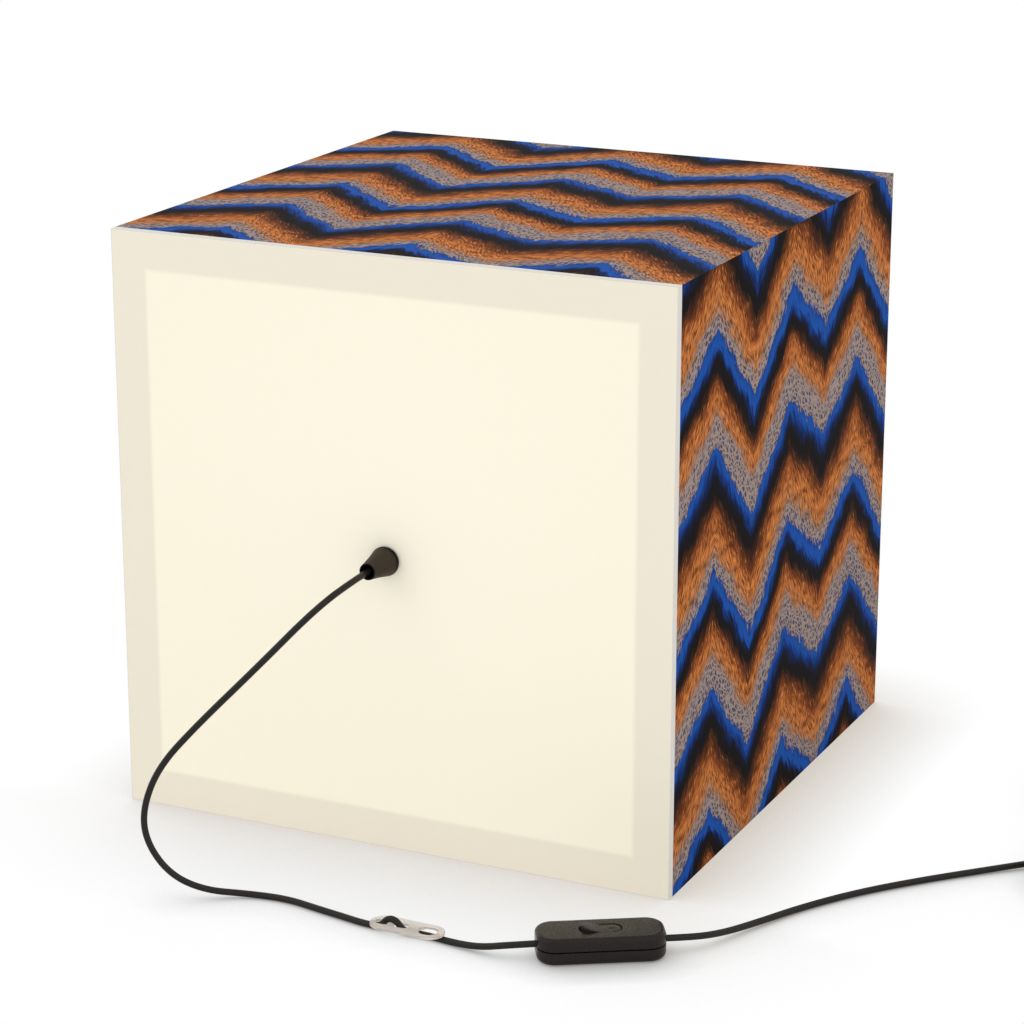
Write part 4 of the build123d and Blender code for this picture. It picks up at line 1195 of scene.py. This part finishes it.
@dataclass
class Plug:
    """Two-pin plug with its strain relief, sizes in millimetres.

    The stations are shares of the body's length, and so are edge_share and swell_share.
    """

    x: float = 198.0
    z: float = 6.8
    tail_y: float = 22.0
    face_y: float = 58.0
    tail_half: float = 7.0
    face_half: float = 17.0
    tail_thick: float = 5.5
    swell: float = 1.3
    swell_share: float = 0.5
    edge: float = 0.9
    edge_share: float = 0.06
    squareness: float = 3.6
    sides: int = 40
    stations: Sequence[float] = (
        0.0, 0.02, 0.06, 0.12, 0.2, 0.3, 0.4, 0.5, 0.6, 0.7, 0.8, 0.9, 0.96, 0.99, 1.0)
    grip_count: int = 5
    grip_step: float = 2.6
    grip_start: float = 29.0
    grip: Point = (15.0, 1.2, 13.4)
    grip_edge: float = 0.45

    def _rounded(self, part: float) -> float:
        """Sine or cosine of a circle as that of a rounded oblong."""
        return math.copysign(abs(part) ** (2 / self.squareness), part)

    def _body(self) -> bmesh.types.BMesh:
        """Shape the flat body, which swells from the cord to the pin face and has rounded edges.

        Returns:
            The mesh.
        """
        angles = [math.tau * step / self.sides for step in range(self.sides)]
        rings = []
        for share in self.stations:
            tail_inset = self.edge * max(0.0, 1 - share / self.edge_share) ** 2
            face_inset = self.edge * max(0.0, (share - (1 - self.edge_share)) / self.edge_share) ** 2
            inset = tail_inset + face_inset
            wide = self.tail_half + (self.face_half - self.tail_half) * (1.0 - (1.0 - share) ** 2) - inset
            thick = self.tail_thick + self.swell * min(1.0, share / self.swell_share) - inset
            y = self.tail_y + (self.face_y - self.tail_y) * share
            rings.append([((self.x + self._rounded(math.cos(angle)) * wide) * MM, y * MM,
                           (self.z + self._rounded(math.sin(angle)) * thick) * MM) for angle in angles])
        return ring_mesh(rings)

    def build(self, finishes: Finishes) -> list[bpy.types.Object]:
        """Dress the plug.

        Args:
            finishes: Materials.

        Returns:
            Its pieces, which are on the cord.
        """
        made = [smooth_copy("plug_strain_relief", finishes.plug, Body.BACK, "plug_black")]
        body = shape_object("plug_moulded_body", self._body(), finishes.plug, FINE_SHARP)
        made.append(settle(body, Body.BACK, "plug_black", "plug_body"))
        rib = boxed_shape("grip_rib", tuple(value * MM for value in self.grip), self.grip_edge * MM)
        row = Repeat(Layout.ROW, self.grip_count, (self.x * MM, self.grip_start * MM, self.z * MM),
                     step=(0.0, self.grip_step * MM, 0.0))
        made.append(settle(row.build("plug_grip_ribs", rib, finishes.plug), Body.BACK, "plug_black"))
        made.append(smooth_copy("plug_pins", finishes.nickel, Body.BACK, "plug_pin"))
        made.append(smooth_copy("plug_pin_sleeves", finishes.plug, Body.BACK, "plug_black"))
        return made


@dataclass
class CordSet:
    """Cord from the gland through clip and switch to the plug, with its coil and tie, in millimetres.

    The two lengths are in metres. The tie's section is given in shares of half its width and thickness.
    """

    plug: Plug
    clip: Clip = field(default_factory=Clip)
    coil: Coil = field(default_factory=Coil)
    diameter: float = 2.1
    axis_z: float = 97.5
    gland_end: float = -110.5
    gland_lead: float = 7.0
    nipple_end: float = -101.5
    arch_gap: float = 0.35
    arch_top: float = 1.5
    arch_foot: float = 4.1
    split_z: float = 4.525
    switch_half: float = 19.5
    in_switch: float = 4.2
    switch_lead: float = 8.0
    lead_droop: float = 0.2
    lamp_length: float = 0.2724
    supply_length: float = 1.5014
    coil_lead: float = 14.0
    coil_leave: float = 6.0
    plug_lead_y: float = -6.0
    tail_lift: float = 0.15
    round_steps: int = 5
    lamp_steps: int = 12
    supply_steps: int = 6
    tie_turn: float = -50.0
    tie_thick: float = 0.5
    tie_width: float = 4.0
    tie_gap: float = 0.35
    tie_corner: float = 1.6
    tie_steps: int = 8
    tie_section: Sequence[Span] = (
        (-1.0, -0.7), (-0.9, -1.0), (0.9, -1.0), (1.0, -0.7),
        (1.0, 0.7), (0.9, 1.0), (-0.9, 1.0), (-1.0, 0.7))

    def lamp_route(self) -> list[Point]:
        """Lay out the cord from the nipple to the switch.

        Returns:
            Control points.
        """
        floor = self.diameter / 2
        arch = self.clip.bottom + self.clip.thick + floor + self.arch_gap
        bar = self.clip.bar_at - self.clip.length / 2
        return [
            (0.0, self.nipple_end, self.axis_z), (0.0, self.gland_end - self.gland_lead, self.axis_z),
            (-6.1, -132.5, 91.5), (-21.2, -143.5, 73.4), (-37.4, -152.5, 55.3), (-48.4, -158.5, 41.5),
            (-52.2, -162.5, 28.2), (-49.9, -164.5, 18.4), (-42.8, -163.0, 8.4), (-33.2, -158.5, 3.1),
            (-22.0, -151.0, floor), (-9.0, -149.2, floor), (3.5, -151.8, floor), (13.5, -153.6, floor),
            CLIP_SEAT.point(-16.2, 0.2, floor), CLIP_SEAT.point(bar - self.arch_foot, 0.0, floor),
            CLIP_SEAT.point(bar - self.arch_top, 0.0, arch), CLIP_SEAT.point(bar + self.arch_top, 0.0, arch),
            CLIP_SEAT.point(bar + self.arch_foot, 0.0, floor), CLIP_SEAT.point(bar + 10.6, 1.0, floor),
            (51.5, -156.0, floor), (61.0, -157.0, 1.8),
            SWITCH_SEAT.point(-self.switch_half - self.switch_lead, 0.0, self.split_z - self.lead_droop),
            SWITCH_SEAT.point(self.in_switch - self.switch_half, 0.0, self.split_z),
        ]

    def supply_route(self) -> list[Point]:
        """Lay out the cord from the switch through the coil and the strain relief to the plug.

        Returns:
            Control points.
        """
        floor = self.diameter / 2
        inward, outward = self.coil.heading(0.0), self.coil.heading(self.coil.turns)
        first = Vector(self.coil.point(0.0)) - inward * self.diameter
        last = Vector(self.coil.point(self.coil.turns)) + outward * self.diameter
        level = last + outward * self.coil_leave
        arrive = Vector((self.plug.x, self.plug_lead_y, self.plug.z))
        middle = (level + arrive) / 2 + Vector((0.0, 0.0, self.tail_lift))
        run = [
            SWITCH_SEAT.point(self.switch_half - self.in_switch, 0.0, self.split_z),
            SWITCH_SEAT.point(self.switch_half + self.switch_lead, 0.0, self.split_z - self.lead_droop),
            (123.6, -118.0, 2.6), (129.0, -105.0, 1.5), (137.4, -87.0, floor), (149.3, -68.8, floor),
            (164.0, -51.6, floor), (178.6, -36.6, floor), tuple(first - inward * self.coil_lead),
        ]
        tail = [tuple(point) for point in (level, middle, arrive)]
        return run + self.coil.points() + tail + [(self.plug.x, self.plug.tail_y, self.plug.z)]

    def _cord(self, name: str, route: list[Point], steps: int,
              finish: bpy.types.Material) -> bpy.types.Object:
        """Round cord on a smooth line.

        Args:
            name: Name of the piece.
            route: Control points in millimetres.
            steps: Steps of the line between control points.
            finish: Material.

        Returns:
            The cord.
        """
        curve = bpy.data.curves.new(name, "CURVE")
        curve.dimensions = "3D"
        spline = curve.splines.new("NURBS")
        spline.points.add(len(route) - 1)
        for point, place in zip(spline.points, route):
            point.co = (*[value * MM for value in place], 1.0)
        spline.order_u = 3
        spline.use_endpoint_u = True
        curve.resolution_u = spline.resolution_u = steps
        curve.bevel_depth = self.diameter / 2 * MM
        curve.bevel_resolution = self.round_steps
        curve.use_fill_caps = True
        curve.materials.append(finish)
        return add_object(name, curve)

    def _tie(self, finish: bpy.types.Material) -> bpy.types.Object:
        """Band round the coil's turns with a rounded section.

        Args:
            finish: Material.

        Returns:
            The band.
        """
        least, most, top = self.coil.section()
        radius = self.diameter / 2
        near, far = least - radius - self.tie_gap, most + radius + self.tie_gap
        low, high = self.tie_thick, top + radius + self.tie_gap
        grow = self.tie_thick / 2
        bend = self.tie_corner + grow
        rings = []
        for x, z, first in ((far, high, 0), (near, high, 90), (near, low, 180), (far, low, 270)):
            centre_x = x - math.copysign(self.tie_corner, x - (near + far) / 2)
            centre_z = z - math.copysign(self.tie_corner, z - (low + high) / 2)
            for step in range(self.tie_steps + 1):
                angle = math.radians(first + 90 * step / self.tie_steps)
                out_x, out_z = math.cos(angle), math.sin(angle)
                line_x, line_z = centre_x + bend * out_x, centre_z + bend * out_z
                rings.append([((line_x + grow * lift * out_x) * MM, self.tie_width / 2 * side * MM,
                               (line_z + grow * lift * out_z) * MM) for side, lift in self.tie_section])
        shape = ring_mesh(rings, loop=True)
        seat = Seat(self.coil.x, self.coil.y, self.tie_turn)
        bmesh.ops.transform(shape, matrix=seat.matrix(), verts=shape.verts)
        band = shape_object("coil_tie_band", shape, finish, FINE_SHARP)
        return settle(band, Body.BACK, "tie_black", "coil_tie")

    def build(self, finishes: Finishes, on_lamp_run: list[bpy.types.Object],
              on_supply_run: list[bpy.types.Object]) -> None:
        """Lay the cord, with its clip and its tie.

        Args:
            finishes: Materials.
            on_lamp_run: Pieces on the cord between gland and switch; not used.
            on_supply_run: Pieces on the cord between switch and plug; not used.
        """
        clip = self.clip.build(finishes.clip)
        tie = self._tie(finishes.tie)
        lamp = self._cord("cord_gland_to_switch", self.lamp_route(), self.lamp_steps, finishes.cord)
        settle(lamp, Body.BACK, "cord_black", "cord_lamp_run")
        supply = self._cord("cord_switch_to_plug", self.supply_route(), self.supply_steps, finishes.cord)
        settle(supply, Body.BACK, "cord_black", "cord_supply_run", "cord_coil", "cord_tail")
        leave = SWITCH_SEAT.point(self.switch_half, 0.0, self.split_z)
        tuple(value * MM for value in leave)


@dataclass
class InlineSwitch:
    """In-line rocker switch, sizes in millimetres."""

    screw_along: float = 13.4
    screw_across: float = -3.85
    screw_bottom: float = 0.4
    screw_top: float = 6.4
    shank: float = 0.9
    head: float = 1.6
    head_deep: float = 1.1
    head_face: float = 1.35
    head_round: float = 0.25
    recess_rim: float = 0.55
    recess_deep: float = 0.55
    recess_arm: float = 0.5
    recess_inner: float = 0.18
    sides: int = 24

    @staticmethod
    def _ring(radii: Sequence[float], height: float) -> list[Point]:
        """Ring of points about Z.

        Args:
            radii: Radius of each point.
            height: Height of the ring.

        Returns:
            The points in metres.
        """
        angles = [math.tau * step / len(radii) for step in range(len(radii))]
        return [(radius * MM * math.cos(angle), radius * MM * math.sin(angle), height * MM)
                for radius, angle in zip(radii, angles)]

    def _screw(self) -> bpy.types.Object:
        """Shape a pan-head screw with a cross recess, point up.

        Returns:
            The screw.
        """
        quarter = self.sides // 4
        cross = [self.recess_arm if min(step % quarter, -step % quarter) <= 1 else self.recess_inner
                 for step in range(self.sides)]
        profile = [(self.recess_rim, 0.0), (self.head_face, 0.0), (self.head, self.head_round),
                   (self.head, self.head_deep), (self.shank, self.head_deep),
                   (self.shank, self.screw_top - self.screw_bottom)]
        rings = [self._ring([radius] * self.sides, height) for radius, height in profile]
        return shape_object("case_screw", ring_mesh([self._ring(cross, self.recess_deep), *rings]))

    def build(self, finishes: Finishes) -> list[bpy.types.Object]:
        """Dress the switch.

        Args:
            finishes: Materials.

        Returns:
            Its pieces, which are on the cord.
        """
        dress(finishes.brass, "switch_contacts", "switch_terminals", "switch_terminal_screws",
              "switch_bridge")
        dress(finishes.brown, "switch_leads")
        dress(finishes.switch, "switch_cord_clamps")
        made = [smooth_copy(node, finishes.switch, body, "switch_black") for node, body in (
            ("switch_base", Body.BACK), ("switch_cover", Body.BACK), ("switch_rocker", Body.ROCKER))]
        first = SWITCH_SEAT.matrix() @ Vector(
            (-self.screw_along * MM, self.screw_across * MM, self.screw_bottom * MM))
        turn = (0.0, 0.0, math.radians(SWITCH_SEAT.turn))
        row = Repeat(Layout.ROW, 2, tuple(first), turn, step=(2 * self.screw_along * MM, 0.0, 0.0))
        screws = row.build("switch_case_screws", self._screw(), finishes.zinc)
        made.append(settle(screws, Body.BACK, "plated_steel", "switch_screws"))
        inner = ("contacts", "terminals", "terminal_screws", "leads", "cord_clamps", "bridge")
        return made + [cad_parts[f"switch_{name}"] for name in inner]


@dataclass(frozen=True)
class SoftLight:
    """Square light that faces the lamp's middle."""

    name: str
    place: Point
    size: float
    power: float
    aim: Point = (0.0, 0.0, 0.1)

    def build(self) -> None:
        """Hang the light."""
        data = bpy.data.lights.new(self.name, "AREA")
        data.size = self.size
        data.energy = self.power
        light = add_object(self.name, data)
        light.location = self.place
        facing = Vector(self.aim) - Vector(self.place)
        light.rotation_euler = facing.to_track_quat("-Z", "Y").to_euler()


@dataclass
class Studio:
    """Pale floor, soft light and the camera.

    The floor's shade reaches further in front of the panel, and is warm close to the cube. Pieces that lie
    away from the cube add a closer shade of their own. Spans are distances from the cube's middle.
    """

    camera_place: Point = (0.4378, -0.9302, 0.4006)
    camera_yaw: float = 25.33
    camera_pitch: float = -16.99
    lens: float = 110.46
    sensor: float = 36.0
    sight: float = 50.0
    floor_size: float = 8.0
    floor_colour: Colour = (0.93, 0.925, 0.92, 1.0)
    floor_roughness: float = 0.9
    floor_shade: float = 0.042
    front_shade: float = 0.08
    front_start: Span = (0.095, 0.115)
    front_fade: float = 0.14
    floor_lean: Point = (-0.3, 0.0, 1.0)
    warm_shade: Colour = (0.45, 0.37, 0.27, 1.0)
    plain_shade: Colour = (0.36, 0.36, 0.355, 1.0)
    warm_reach: Span = (0.1, 0.16)
    contact: float = 0.014
    contact_lean: Point = (-0.3, 0.5, 1.0)
    contact_shade: Colour = (0.38, 0.38, 0.375, 1.0)
    contact_start: Span = (0.112, 0.124)
    shade_samples: int = 6
    world_strength: float = 0.955
    lights: Sequence[SoftLight] = (
        SoftLight("key", (-1.1, -1.3, 1.9), size=1.6, power=6.0),
        SoftLight("fill", (1.6, -0.8, 1.2), size=1.4, power=3.0))

    def _camera(self) -> None:
        """Camera at the viewing angle."""
        data = bpy.data.cameras.new("camera")
        data.lens = self.lens
        data.sensor_width = self.sensor
        data.clip_end = self.sight
        camera = add_object("camera", data)
        camera.location = self.camera_place
        tilt = math.radians(90 + self.camera_pitch)
        camera.rotation_euler = Euler((tilt, 0.0, math.radians(self.camera_yaw)))
        bpy.context.scene.camera = camera

    def _hidden(self, paint: Paint, reach: Signal | float, lean: Point) -> Signal:
        """Share of the sky that things within reach hide from the floor.

        Args:
            paint: The floor's material.
            reach: Distance in metres.
            lean: Way to the middle of the sky.

        Returns:
            The share, from 0 to 1.
        """
        normal = paint.vector(*Vector(lean).normalized())
        node = paint.add("ShaderNodeAmbientOcclusion", {"samples": self.shade_samples},
                         {"Distance": reach, "Normal": normal})
        return 1 - Signal(paint, node.outputs["AO"])

    def _floor(self) -> None:
        """White floor that shows the shade close round what stands on it."""
        shape = bmesh.new()
        bmesh.ops.create_grid(shape, x_segments=1, y_segments=1, size=self.floor_size / 2)
        paint = Paint("studio_floor")
        x, y, _ = paint.axes()
        front = (y * -1).rise(*self.front_start)
        away = abs(x).most(abs(y))
        reach = front * (self.front_shade - self.floor_shade) + self.floor_shade
        shade = paint.mix(away.rise(*self.warm_reach), self.warm_shade, self.plain_shade)
        painted_shade_share = self._hidden(paint, reach, self.floor_lean) * (1 - self.front_fade * front)
        touched = self._hidden(paint, self.contact, self.contact_lean) * away.rise(*self.contact_start)
        shown = paint.mix(touched, paint.mix(painted_shade_share, WHITE, shade), self.contact_shade, "MULTIPLY")
        paint.done(Base_Color=self.floor_colour, Roughness=self.floor_roughness, Specular_IOR_Level=0.0)
        glow = paint.add("ShaderNodeEmission", None, {"Color": shown, "Strength": 1.0})
        blend = paint.add("ShaderNodeMixShader", None, {
            0: paint.viewed(), 1: paint.shader.outputs[0], 2: glow.outputs[0]})
        paint.feed(paint.output, {"Surface": blend.outputs[0]})
        shape_object("studio_floor", shape, paint.material)

    def _world(self) -> None:
        """Even white surroundings, plain white to the camera."""
        world = bpy.data.worlds.new("studio")
        world.use_nodes = True
        sky = Wiring(world.node_tree)
        sky.tree.nodes.clear()
        lit, plain = (sky.add("ShaderNodeBackground", None, {"Color": WHITE, "Strength": strength}).outputs[0]
                      for strength in (self.world_strength, 1.0))
        mixed = sky.add("ShaderNodeMixShader", None, {0: sky.viewed(), 1: lit, 2: plain})
        sky.add("ShaderNodeOutputWorld", None, {"Surface": mixed.outputs[0]})
        bpy.context.scene.world = world

    def build(self) -> None:
        """Set up the studio."""
        bpy.context.scene.view_settings.view_transform = "Standard"
        self._camera()
        self._floor()
        self._world()
        for light in self.lights:
            light.build()


def main() -> None:
    """Build the lamp and the studio in order."""
    logging.basicConfig(level=logging.INFO, format="%(name)s: %(message)s")
    finishes = Finishes()
    Studio().build()
    on_lamp_run = InlineSwitch().build(finishes)
    plug = Plug()
    on_supply_run = plug.build(finishes)
    CordSet(plug).build(finishes, on_lamp_run, on_supply_run)
    Shade().build()
    BackPanel().build(finishes)
    Lampholder().build(finishes)
    Bulb().build(finishes)


if __name__ == "__main__":
    main()
